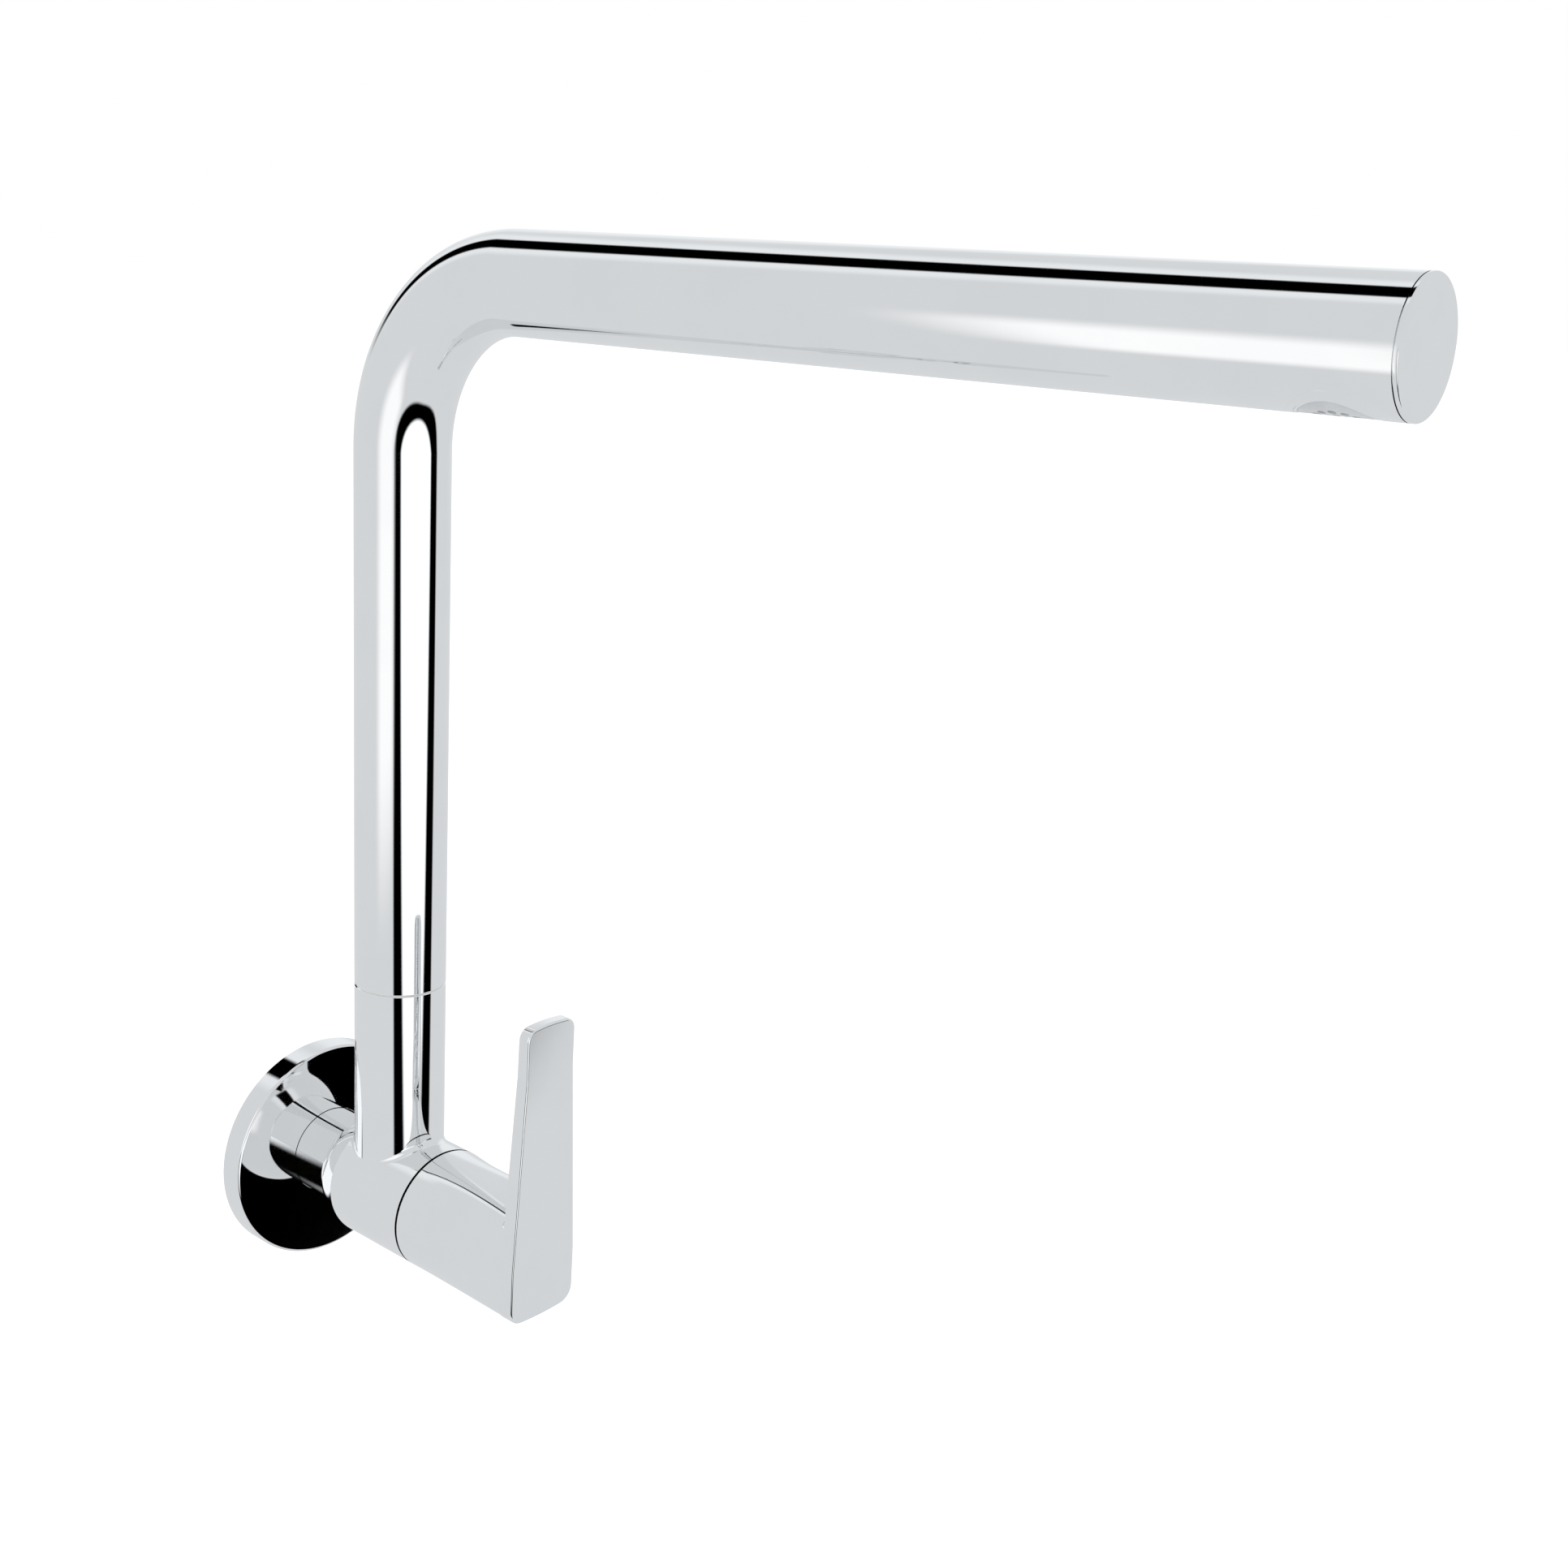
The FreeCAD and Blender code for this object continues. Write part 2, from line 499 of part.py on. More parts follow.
lever = body("lever_handle", "tap")
corner = "lever_low_round"
tip = "lever_tip_round"
pull(lever, "blank", lambda s: loop(s, [
    (f"-(lever_half - {corner})", "-lever_bottom"), (f"lever_half - {corner}", "-lever_bottom"),
    ("lever_half", f"-(lever_bottom - {corner})"), ("lever_half", "0"), ("lever_tip_half", "lever_taper_end"),
    ("lever_tip_half", f"lever_top - {tip}"), (f"lever_tip_half - {tip}", "lever_top"),
    (f"-(lever_tip_half - {tip})", "lever_top"), ("-lever_tip_half", f"lever_top - {tip}"),
    ("-lever_tip_half", "lever_taper_end"), ("-lever_half", "0"), ("-lever_half", f"-(lever_bottom - {corner})")],
    {1: (corner, 1), 5: (tip, 1), 7: (tip, 1), 11: (corner, 1), 0: ("lever_low_crown", 1),
     6: ("lever_tip_crown", 1)}),
     "XY_Plane", "hub_end - 6", "lever_front + lever_lean + 2 - hub_end + 6")
pull(lever, "face_cut", lambda s: loop(s, [
    ("-lever_bottom - 5", "lever_front - lever_lean*5/(lever_top + lever_bottom)"),
    ("lever_top + 5", "lever_front + lever_lean + lever_lean*5/(lever_top + lever_bottom)"),
    ("lever_top + 5", "lever_front + 20"), ("-lever_bottom - 5", "lever_front + 20")]),
     "YZ_Plane", None, "body_dia*2", cut=True, both=True)
pull(lever, "back_cut", lambda s: loop(s, [
    ("-lever_bottom - 5", "lever_front - lever_thick_low"),
    ("hub_top + hub_fillet", "lever_front - lever_thick_low + 0.4"),
    ("lever_top + 5", "lever_front + lever_lean - lever_thick_top"),
    ("lever_top + 5", "hub_end - 12"), ("-lever_bottom - 5", "hub_end - 12")]),
     "YZ_Plane", None, "body_dia*2", cut=True, both=True)

def at_face_rim(edge):
    """Edges round the lever's front face."""
    p = edge.valueAt((edge.FirstParameter + edge.LastParameter) / 2)
    q = edge.valueAt(edge.FirstParameter)
    lean = val("lever_lean") / val("lever_top + lever_bottom")
    return all(abs(a.z - val("lever_front") - lean * (a.y + val("lever_bottom"))) < 0.05 for a in (p, q))


fillet(lever, "face_rim", "lever_edge", at_face_rim)
hub_back = sketch_on(lever, "hub_back", "XY_Plane", "body_front + joint_gap")
spots = ["91.5", "88.5", "60", "0", "-45", "-70", "-110", "-135", "-180", "-240"]
loop(hub_back, [(f"body_dia/2*cos({a} deg)", f"body_dia/2*sin({a} deg)") for a in spots],
     {i: ("body_dia/2", -1) for i in range(len(spots))})
hub_front = sketch_on(lever, "hub_front", "XY_Plane", "hub_end")
inset = "hub_inset"
half = f"(lever_half - {inset})"
low = f"(lever_bottom - {inset})"
turn_down = "(hub_top - shoulder_round)"
shoulder = f"({half} - (lever_half - lever_tip_half)*{turn_down}/lever_taper_end)"
loop(hub_front, [(f"-({shoulder} - shoulder_round)", "hub_top"), (f"{shoulder} - shoulder_round", "hub_top"),
                 (shoulder, turn_down), (half, "0"), (half, f"-({low} - {corner})"),
                 (f"{half} - {corner}", f"-{low}"), (f"-({half} - {corner})", f"-{low}"),
                 (f"-{half}", f"-({low} - {corner})"), (f"-{half}", "0"), (f"-{shoulder}", turn_down)],
     {1: ("shoulder_round", -1), 9: ("shoulder_round", -1), 4: (corner, -1), 6: (corner, -1),
      5: ("lever_low_crown", -1)})
hub = lever.newObject("PartDesign::AdditiveLoft", "hub")
hub.Profile = hub_back
hub.Sections = [hub_front]
hub.Ruled = True
lever.Tip = hub
pull(lever, "hub_blend", lambda s: loop(s, [
    ("hub_top - 1", "hub_end - 1"), ("hub_top - 1", "hub_blend_foot"), ("hub_top + 0.2", "hub_blend_foot"),
    ("hub_top + hub_fillet", "lever_front - lever_thick_low + 0.3"),
    ("hub_top + hub_fillet", "hub_end - 0.2")], {2: ("hub_fillet*1.1", -1)}),
     "YZ_Plane", None, "2*hub_blend_half", both=True)
tube_turn(lever, "hollow", "0", "hub_bore/2", "body_front + joint_gap - 1", "hub_floor", cut=True)
tube_turn(lever, "insert_bore", "0", "insert_dia/2 + 0.05", "hub_floor - 1", "insert_front + 0.5", cut=True)
pull(lever, "screw_hole", lambda s: ring(s, "grub_dia + 2*thread_play", "0", "grub_out"), "XZ_Plane", "insert_dia/4",
     "body_dia", cut=True, back=True)

insert = body("handle_insert", "tap")
tube_turn(insert, "sleeve", "spline_dia/2 + 0.05", "insert_dia/2", "hub_floor + 0.2", "insert_front")
rib = pull(insert, "rib", lambda s: loop(s, [("spline_dia/2 - spline_depth + 0.12", "0"),
                                             ("spline_dia/2 + 0.3", "-0.32"), ("spline_dia/2 + 0.3", "0.32")]),
           "XY_Plane", "hub_floor + 0.2", "insert_front - hub_floor - 1.4")
around(insert, "ribs", rib, "spline_teeth")
pull(insert, "screw_hole", lambda s: ring(s, "grub_dia + 0.2", "0", "grub_out"), "XZ_Plane", None,
     "insert_dia", cut=True, back=True)

grub = body("handle_set_screw", "tap")
pull(grub, "thread", lambda s: ring(s, "grub_dia", "0", "grub_out"), "XZ_Plane", "spline_dia/2 + 0.02",
     "grub_len", back=False)
pull(grub, "key", lambda s: hexagon(s, "grub_dia/2", "grub_out"), "XZ_Plane", "spline_dia/2 + grub_len + 1", "3.5",
     cut=True)

# ---------------------------------------------------------------- spout pieces

stop = body("stop_screw", "spout")
pull(stop, "thread", lambda s: ring(s, "grub_dia", "0", "stop_up"), "XZ_Plane", "-(stem_dia/2 - 0.3)",
     "(stem_dia - stem_bore)/2 - 0.5")
pull(stop, "dog", lambda s: ring(s, "dog_dia", "0", "stop_up"), "XZ_Plane", "-(bore_radius + 0.5)",
     "bore_radius + 0.5 - stop_floor - 0.4")
pull(stop, "key", lambda s: hexagon(s, "grub_dia/2", "stop_up"), "XZ_Plane", "-(stem_dia/2 + 1)", "2.9",
     cut=True, back=True)

spigot = body("spout_spigot", "spout")
turn(spigot, "barrel", [("spigot_bore", "spigot_foot"), ("spigot_radius - 0.5", "spigot_foot"),
                        ("spigot_radius", "spigot_foot + 0.5"),
                        ("spigot_radius", "spout_foot + 1.5"),
                        ("tube_inside - braze_play", "spout_foot + 1.5"),
                        ("tube_inside - braze_play", "spigot_top - 1"),
                        ("tube_inside - 1", "spigot_top"), ("spigot_bore", "spigot_top")])
for n, height in enumerate(["ring_low", "ring_high"]):
    tube_turn(spigot, f"ring_groove_{n + 1}", "bore_radius - ring_mid + 0.01", "bore_radius + 1",
              f"{height} - ring_mid/2 - 0.2", f"{height} + ring_mid/2 + 0.2", cut=True)
tube_turn(spigot, "glide_groove", "bore_radius - 1.3", "bore_radius + 1", "glide_up - 0.05",
          "glide_up + glide_len + 0.05", cut=True)
stop_cut = sketch_on(spigot, "stop_outline", "YZ_Plane")
loop(stop_cut, [("stop_floor", "stop_up - stop_height/2"), ("bore_radius + 1", "stop_up - stop_height/2"),
                ("bore_radius + 1", "stop_up + stop_height/2"), ("stop_floor", "stop_up + stop_height/2")])
stop_groove = spigot.newObject("PartDesign::Groove", "stop_groove")
stop_groove.Profile = stop_cut
stop_groove.ReferenceAxis = (stop_cut, ["V_Axis"])
stop_groove.Midplane = True
stop_groove.setExpression("Angle", bound("stop_angle"))
o_rings("spigot_o_rings", "spout", "stem_bore - 2*ring_mid + 0.04", "ring_mid - 0.06",
        ["ring_low", "ring_high"])

glide = body("lower_glide_ring", "spout")
tube_turn(glide, "ring", "bore_radius - 1.28", "bore_radius - 0.04", "glide_up", "glide_up + glide_len")
pull(glide, "split", lambda s: sector(s, "stem_bore - 6", "stem_bore + 4", "8", "270"), "XY_Plane", "glide_up - 1",
     "glide_len + 2", cut=True, back=True)
slip = body("upper_glide_ring", "spout")
tube_turn(slip, "ring", "bore_radius + 0.1", "stem_dia/2 - 0.25", "stem_top + 0.05", "spout_foot")

tube = body("spout_tube", "spout")
path = sketch_on(tube, "path", "YZ_Plane")
up_end = FreeCAD.Vector(0, val("rise - bend"), 0)
out_start = FreeCAD.Vector(-val("bend"), val("rise"), 0)
low_line = path.addGeometry(Part.LineSegment(FreeCAD.Vector(0, val("spout_foot"), 0), up_end))
elbow = path.addGeometry(arc(up_end, out_start, val("bend"), 1))
arm_line = path.addGeometry(Part.LineSegment(out_start, FreeCAD.Vector(-val("reach - cap_len"), val("rise"), 0)))
pin(path, low_line, 1, "0", "spout_foot")
pin(path, low_line, 2, "0", "rise - bend")
pin(path, arm_line, 1, "-bend", "rise")
pin(path, arm_line, 2, "-(reach - cap_len)", "rise")
path.addConstraint(Sketcher.Constraint("Coincident", low_line, 2, elbow, 1))
path.addConstraint(Sketcher.Constraint("Coincident", elbow, 2, arm_line, 1))
at = path.addConstraint(Sketcher.Constraint("Radius", elbow, val("bend")))
path.setExpression(f"Constraints[{at}]", bound("bend"))
section = sketch_on(tube, "section", "XY_Plane", "spout_foot")
ring(section, "tube_dia")
ring(section, "2*tube_inside")
pipe = tube.newObject("PartDesign::AdditivePipe", "pipe")
pipe.Profile = section
pipe.Spine = (path, ["Edge1", "Edge2", "Edge3"])
pull(tube, "outlet_hole", lambda s: ring(s, "seat_dia + 2*braze_play", "0", "-(reach - outlet_back)"), "XY_Plane",
     "rise - tube_dia", "tube_dia", cut=True, back=True)

cap = body("spout_end_cap", "spout")
cap_disc = sketch_on(cap, "disc_outline", "XZ_Plane", "reach")
ring(cap_disc, "tube_dia", "0", "rise")
disc = cap.newObject("PartDesign::Pad", "disc")
disc.Profile = cap_disc
disc.setExpression("Length", bound("cap_len"))
disc.Reversed = True
plug_disc = sketch_on(cap, "plug_outline", "XZ_Plane", "reach - cap_len")
ring(plug_disc, "2*tube_inside - 2*braze_play", "0", "rise")
ring(plug_disc, "2*tube_inside - 4", "0", "rise")
plug = cap.newObject("PartDesign::Pad", "plug")
plug.Profile = plug_disc
plug.setExpression("Length", bound("cap_plug"))
plug.Reversed = True
fillet(cap, "rim", "cap_edge", lambda e: abs(e.BoundBox.YMin + val("reach")) < 0.01 and e.BoundBox.YLength < 0.01)

def outlet_body(name):
    """Body standing on the outlet axis, its origin at the height of the arm axis."""
    made = doc.addObject("PartDesign::Body", name)
    made.Label = name
    made.setExpression("Placement.Base.y", bound("-(stem_out + reach - outlet_back)"))
    made.setExpression("Placement.Base.z", bound("rise"))
    return made


def under_arm(name, blank, radius):
    """Trims a blank with a bar along the arm, so that its foot follows the arm's round underside."""
    bar = doc.addObject("Part::Cylinder", name + "_bar")
    bar.setExpression("Radius", bound(radius))
    bar.setExpression("Height", bound("reach"))
    bar.Placement = FreeCAD.Placement(FreeCAD.Vector(), FreeCAD.Rotation(FreeCAD.Vector(1, 0, 0), 90))
    bar.setExpression("Placement.Base.y", bound("-stem_out"))
    bar.setExpression("Placement.Base.z", bound("rise"))
    made = doc.addObject("Part::Common", name)
    made.Base = blank
    made.Tool = bar
    made.Label = name


# The seat closes the hole flush with the arm, and the aerator in it lies a hair deeper.
seat_blank = outlet_body("seat_blank")
turn(seat_blank, "bush", [("aerator_dia/2 - seat_lip", "washer_head"),
                          ("aerator_dia/2 + aerator_play", "washer_head"),
                          ("aerator_dia/2 + aerator_play", "-tube_dia"), ("seat_dia/2", "-tube_dia"),
                          ("seat_dia/2", "washer_head + seat_floor"),
                          ("aerator_dia/2 - seat_lip", "washer_head + seat_floor")])
under_arm("aerator_seat", seat_blank, "tube_dia/2")
gasket = outlet_body("aerator_washer")
tube_turn(gasket, "ring", "aerator_dia/2 - 2.2", "aerator_dia/2", "aerator_head",
          "washer_head - 0.02")
shell = outlet_body("housing_blank")
tube_turn(shell, "ring", "aerator_dia/2 - aerator_wall", "aerator_dia/2", "-tube_dia", "aerator_head")
under_arm("aerator_housing", shell, "tube_dia/2 - aerator_inset")
comb = outlet_body("insert_blank")
tube_turn(comb, "disc", "0", "aerator_dia/2 - aerator_wall - 0.05", "-tube_dia", "aerator_foot + 3.6")
pull(comb, "cell", lambda s: ring(s, "comb_cell"), "XY_Plane", "-tube_dia", "tube_dia", cut=True, back=True)
for n, (spread, count) in enumerate([("2.1", "6"), ("4.2", "12")]):
    hole = pull(comb, f"hole_{n + 1}", lambda s, at=spread: ring(s, "comb_cell", at, "0"), "XY_Plane",
                "-tube_dia", "tube_dia", cut=True, back=True)
    around(comb, f"holes_{n + 1}", hole, count)
under_arm("aerator_insert", comb, "tube_dia/2 - aerator_inset")
sieve = outlet_body("aerator_screen")
tube_turn(sieve, "disc", "0", "aerator_dia/2 - aerator_wall - 0.05", "aerator_foot + 3.8", "aerator_foot + 4.2")
for n, (spread, count) in enumerate([("1.2", "6"), ("2.4", "12"), ("3.6", "18"), ("4.8", "24"), ("6", "30")]):
    hole = pull(sieve, f"hole_{n + 1}", lambda s, at=spread: ring(s, "screen_mesh", at, "0"), "XY_Plane",
                "aerator_foot + 3", "3", cut=True, back=True)
    around(sieve, f"holes_{n + 1}", hole, count)

doc.recompute()

NODES = ["valve_body", "wall_flange", "flange_o_ring", "inlet_nipple", "headwork_body", "headwork_o_ring",
         "disc_seat_seal", "fixed_ceramic_disc", "stop_screw", "moving_ceramic_disc", "spindle", "spindle_o_rings",
         "thrust_washer", "spindle_clip", "lever_handle", "handle_insert", "handle_set_screw", "spout_spigot",
         "spigot_o_rings", "lower_glide_ring", "upper_glide_ring", "spout_tube", "spout_end_cap", "aerator_seat",
         "aerator_washer", "aerator_housing", "aerator_insert", "aerator_screen"]

for obj in doc.Objects:
    if any(flag in obj.State for flag in ("Invalid", "Error")):
        raise RuntimeError(f"{obj.Name} did not build: {obj.State}")
for name in NODES:
    shape = doc.getObject(name).Shape
    if shape.isNull() or not shape.isValid() or not shape.Solids:
        raise RuntimeError(f"{name} has no valid solid")
    shape.exportStep(f"parts/{name}.step")
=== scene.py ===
"""Looks for the wall mounted sink tap: polished chrome shells, machined insides, a white studio."""

import logging
import math
from dataclasses import dataclass, field
from enum import Enum
from typing import Callable, Iterable, Sequence

import bmesh
import bpy
from mathutils import Matrix, Vector


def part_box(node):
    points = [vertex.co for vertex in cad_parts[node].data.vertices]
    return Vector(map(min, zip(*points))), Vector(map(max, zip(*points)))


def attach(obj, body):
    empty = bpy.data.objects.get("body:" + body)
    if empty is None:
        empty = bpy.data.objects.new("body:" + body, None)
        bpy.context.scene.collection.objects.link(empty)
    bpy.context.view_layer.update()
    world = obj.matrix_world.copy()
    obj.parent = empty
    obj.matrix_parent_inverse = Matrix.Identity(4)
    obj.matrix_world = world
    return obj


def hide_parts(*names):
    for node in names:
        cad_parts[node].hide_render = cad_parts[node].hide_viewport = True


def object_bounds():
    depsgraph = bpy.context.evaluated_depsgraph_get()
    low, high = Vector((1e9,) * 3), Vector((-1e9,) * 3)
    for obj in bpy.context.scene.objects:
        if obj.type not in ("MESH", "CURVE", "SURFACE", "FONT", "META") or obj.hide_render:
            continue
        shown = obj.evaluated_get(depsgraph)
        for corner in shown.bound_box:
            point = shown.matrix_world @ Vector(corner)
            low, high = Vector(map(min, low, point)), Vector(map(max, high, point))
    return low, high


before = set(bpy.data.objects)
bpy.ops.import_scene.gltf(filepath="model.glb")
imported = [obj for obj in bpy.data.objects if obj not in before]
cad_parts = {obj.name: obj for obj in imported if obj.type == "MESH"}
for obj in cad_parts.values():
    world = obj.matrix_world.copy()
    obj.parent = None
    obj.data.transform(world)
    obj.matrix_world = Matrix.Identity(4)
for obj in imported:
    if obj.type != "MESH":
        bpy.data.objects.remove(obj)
CAD_LOW, CAD_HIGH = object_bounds()

MM = 0.001
LOG = logging.getLogger("wall_tap")
OUT = Vector((0.0, -1.0, 0.0))
UP = Vector((0.0, 0.0, 1.0))
ACROSS = Vector((1.0, 0.0, 0.0))


class Slot(Enum):
    """The record's material slots."""

    CHROME = "chrome"
    BRASS = "brass"
    RUBBER = "rubber"
    CERAMIC = "ceramic"
    STEEL = "steel"
    PLASTIC = "plastic"


class Rides(Enum):
    """The bodies that the pieces move with."""

    TAP = "tap_body"
    HANDLE = "handle"
    SPOUT = "spout"


# ------------------------------------------------------------------ shader tools


class Net:
    """A node tree that is written as expressions."""

    def __init__(self, tree: bpy.types.NodeTree) -> None:
        """Empties a node tree and keeps it."""
        self.tree = tree
        tree.nodes.clear()

    def node(self, kind: str, settings: dict | None = None, inputs: dict | None = None) -> bpy.types.Node:
        """Adds one node.

        Args:
            kind: the node's type, such as "ShaderNodeTexNoise".
            settings: attributes that are set before its sockets.
            inputs: socket name or index to a number, a vector, a Wire or a socket.

        Returns:
            The new node.
        """
        made = self.tree.nodes.new(kind)
        for name, value in (settings or {}).items():
            setattr(made, name, value)
        for name, value in (inputs or {}).items():
            self.feed(made.inputs[name], value)
        return made

    def feed(self, socket: bpy.types.NodeSocket, value: object) -> None:
        """Links a Wire or a socket into a socket, or sets it to a plain value."""
        if isinstance(value, Wire):
            self.tree.links.new(value.socket, socket)
        elif isinstance(value, bpy.types.NodeSocket):
            self.tree.links.new(value, socket)
        else:
            socket.default_value = value

    def wire(self, node: bpy.types.Node, output: str | int = 0) -> "Wire":
        """One output of a node as a value for expressions."""
        return Wire(self, node.outputs[output])

    def maths(self, operation: str, *values: object, clamp: bool = False) -> "Wire":
        """A Math node's result for one to three values."""
        settings = {"operation": operation, "use_clamp": clamp}
        made = self.node("ShaderNodeMath", settings, dict(enumerate(values)))
        return self.wire(made)

    def mix(self, factor: object, first: object, second: object) -> "Wire":
        """A colour between two colours."""
        made = self.node("ShaderNodeMix", {"data_type": "RGBA", "clamp_factor": True})
        self.feed(made.inputs[0], factor)
        self.feed(made.inputs[6], first)
        self.feed(made.inputs[7], second)
        return self.wire(made, 2)

    def smooth(self, value: object, start: float, end: float) -> "Wire":
        """0 before start, 1 after end, with soft shoulders."""
        made = self.node("ShaderNodeMapRange", {"interpolation_type": "SMOOTHSTEP", "clamp": True},
                         {"Value": value, "From Min": start, "From Max": end})
        return self.wire(made)


@dataclass(frozen=True)
class Wire:
    """A socket that takes part in Python sums."""

    net: Net
    socket: bpy.types.NodeSocket

    def __add__(self, other: object) -> "Wire":
        """self + other."""
        return self.net.maths("ADD", self, other)

    def __radd__(self, other: object) -> "Wire":
        """other + self."""
        return self.net.maths("ADD", other, self)

    def __sub__(self, other: object) -> "Wire":
        """self - other."""
        return self.net.maths("SUBTRACT", self, other)

    def __rsub__(self, other: object) -> "Wire":
        """other - self."""
        return self.net.maths("SUBTRACT", other, self)

    def __mul__(self, other: object) -> "Wire":
        """self * other."""
        return self.net.maths("MULTIPLY", self, other)

    def __rmul__(self, other: object) -> "Wire":
        """other * self."""
        return self.net.maths("MULTIPLY", other, self)

    def __truediv__(self, other: object) -> "Wire":
        """self / other."""
        return self.net.maths("DIVIDE", self, other)

    def __rtruediv__(self, other: object) -> "Wire":
        """other / self."""
        return self.net.maths("DIVIDE", other, self)


# ------------------------------------------------------------------ finishes


@dataclass(frozen=True)
class Finish:
    """A procedural surface: a base colour with fine cloudy variation, wear and tool marks.

    Sizes are in metres, so patterns keep their real scale.
    """

    name: str
    slot: Slot
    colour: tuple[float, float, float]
    tint: tuple[float, float, float]
    metallic: float
    roughness: float
    roughness_spread: float
    cloud_size: float
    grain_size: float
    grain_depth: float
    turning: Vector | None = None
    turning_pitch: float = 0.0
    turning_depth: float = 0.0
    coat: float = 0.0

    def build(self) -> bpy.types.Material:
        """The material, made once for each finish."""
        known = bpy.data.materials.get(self.name)
        if known:
            return known
        made = bpy.data.materials.new(self.name)
        made.use_nodes = True
        net = Net(made.node_tree)
        place = net.wire(net.node("ShaderNodeTexCoord"), "Object")
        cloud = self._noise(net, place, self.cloud_size, 3.0)
        grain = self._noise(net, place, self.grain_size, 2.0)
        colour = net.mix(net.smooth(cloud, 0.35, 0.7), (*self.colour, 1.0), (*self.tint, 1.0))
        rough = self.roughness + (cloud - 0.5) * self.roughness_spread + (grain - 0.5) * self.roughness_spread
        shader = net.node("ShaderNodeBsdfPrincipled", None, {
            "Base Color": colour, "Metallic": self.metallic, "Roughness": rough, "Coat Weight": self.coat,
            "Coat Roughness": 0.08, "Normal": self._relief(net, place, grain)})
        output = net.node("ShaderNodeOutputMaterial")
        net.feed(output.inputs["Surface"], shader.outputs[0])
        return made

    @staticmethod
    def _noise(net: Net, place: Wire, size: float, detail: float) -> Wire:
        """Cloudy value between 0 and 1 whose lumps measure about size."""
        return net.wire(net.node("ShaderNodeTexNoise", {"noise_dimensions": "3D"},
                                 {"Vector": place, "Scale": 1.0 / size, "Detail": detail, "Roughness": 0.55}))

    def _relief(self, net: Net, place: Wire, grain: Wire) -> bpy.types.NodeSocket:
        """Grain, and turning marks across the turning axis where there is one."""
        bump = net.node("ShaderNodeBump", None, {
            "Strength": 1.0, "Distance": self.grain_depth, "Height": grain})
        if self.turning is None:
            return bump.outputs[0]
        along = net.wire(net.node("ShaderNodeVectorMath", {"operation": "DOT_PRODUCT"},
                                  {0: place, 1: tuple(self.turning)}), "Value")
        ridge = net.maths("SINE", along * (2.0 * math.pi / self.turning_pitch))
        marks = net.node("ShaderNodeBump", None, {"Strength": 1.0, "Distance": self.turning_depth,
                                                  "Height": ridge * 0.5 + 0.5, "Normal": bump.outputs[0]})
        return marks.outputs[0]


CHROME = Finish("polished_chrome", Slot.CHROME, (0.90, 0.905, 0.91), (0.885, 0.89, 0.9), 1.0, 0.035, 0.03,
                0.018, 0.0011, 0.0000006)
CHROME_CAP = Finish("polished_chrome_cap", Slot.CHROME, (0.9, 0.905, 0.91), (0.885, 0.89, 0.9), 1.0, 0.07, 0.04,
                    0.009, 0.0008, 0.0000008)
BRASS_TURNED = Finish("turned_brass", Slot.BRASS, (0.80, 0.60, 0.28), (0.72, 0.52, 0.24), 1.0, 0.24, 0.16,
                      0.006, 0.0006, 0.000006, Vector((0.0, 1.0, 0.0)), 0.00035, 0.000006)
BRASS_SPOUT = Finish("turned_brass_spigot", Slot.BRASS, (0.80, 0.60, 0.28), (0.72, 0.52, 0.24), 1.0, 0.24, 0.16,
                     0.006, 0.0006, 0.000006, Vector((0.0, 0.0, 1.0)), 0.00035, 0.000006)
RUBBER = Finish("moulded_rubber", Slot.RUBBER, (0.022, 0.022, 0.023), (0.035, 0.035, 0.035), 0.0, 0.62, 0.16,
                0.003, 0.0003, 0.00001)
CERAMIC = Finish("lapped_ceramic", Slot.CERAMIC, (0.86, 0.85, 0.81), (0.82, 0.81, 0.77), 0.0, 0.2, 0.12, 0.004,
                 0.0002, 0.000002, coat=0.3)
STEEL = Finish("plain_steel", Slot.STEEL, (0.56, 0.57, 0.58), (0.48, 0.49, 0.5), 1.0, 0.3, 0.18, 0.003, 0.0004,
               0.000006)
PLASTIC_GREY = Finish("moulded_grey_acetal", Slot.PLASTIC, (0.5, 0.51, 0.52), (0.46, 0.47, 0.48), 0.0, 0.3,
                      0.14, 0.004, 0.0004, 0.000006)
PLASTIC = Finish("moulded_acetal", Slot.PLASTIC, (0.82, 0.82, 0.8), (0.78, 0.78, 0.75), 0.0, 0.42, 0.14, 0.005,
                 0.0004, 0.000008)


# ------------------------------------------------------------------ mesh tools


def chain(bm: bmesh.types.BMesh, points: Iterable[Vector], closed: bool = False) -> list[bmesh.types.BMEdge]:
    """Vertices joined by edges in order.

    Args:
        bm: the mesh that gets them.
        points: where the vertices stand.
        closed: joins the last vertex to the first.

    Returns:
        The edges in order.
    """
    verts = [bm.verts.new(p) for p in points]
    pairs = list(zip(verts, verts[1:]))
    if closed:
        pairs.append((verts[-1], verts[0]))
    return [bm.edges.new(pair) for pair in pairs]


def arc(centre: Vector, first: Vector, second: Vector, steps: int) -> list[Vector]:
    """Points of a quarter turn from centre + first to centre + second, both ends included."""
    turns = (0.5 * math.pi * i / steps for i in range(steps + 1))
    return [centre + first * math.cos(t) + second * math.sin(t) for t in turns]


def spin(bm: bmesh.types.BMesh, edges: Sequence[bmesh.types.BMEdge], centre: Vector, axis: Vector,
         steps: int) -> None:
    """Turns an outline through a full circle, then closes its poles."""
    verts = {v for e in edges for v in e.verts}
    bmesh.ops.spin(bm, geom=[*verts, *edges], cent=centre, axis=axis, angle=2.0 * math.pi, steps=steps,
                   use_merge=True)
    bmesh.ops.remove_doubles(bm, verts=bm.verts, dist=1e-7)


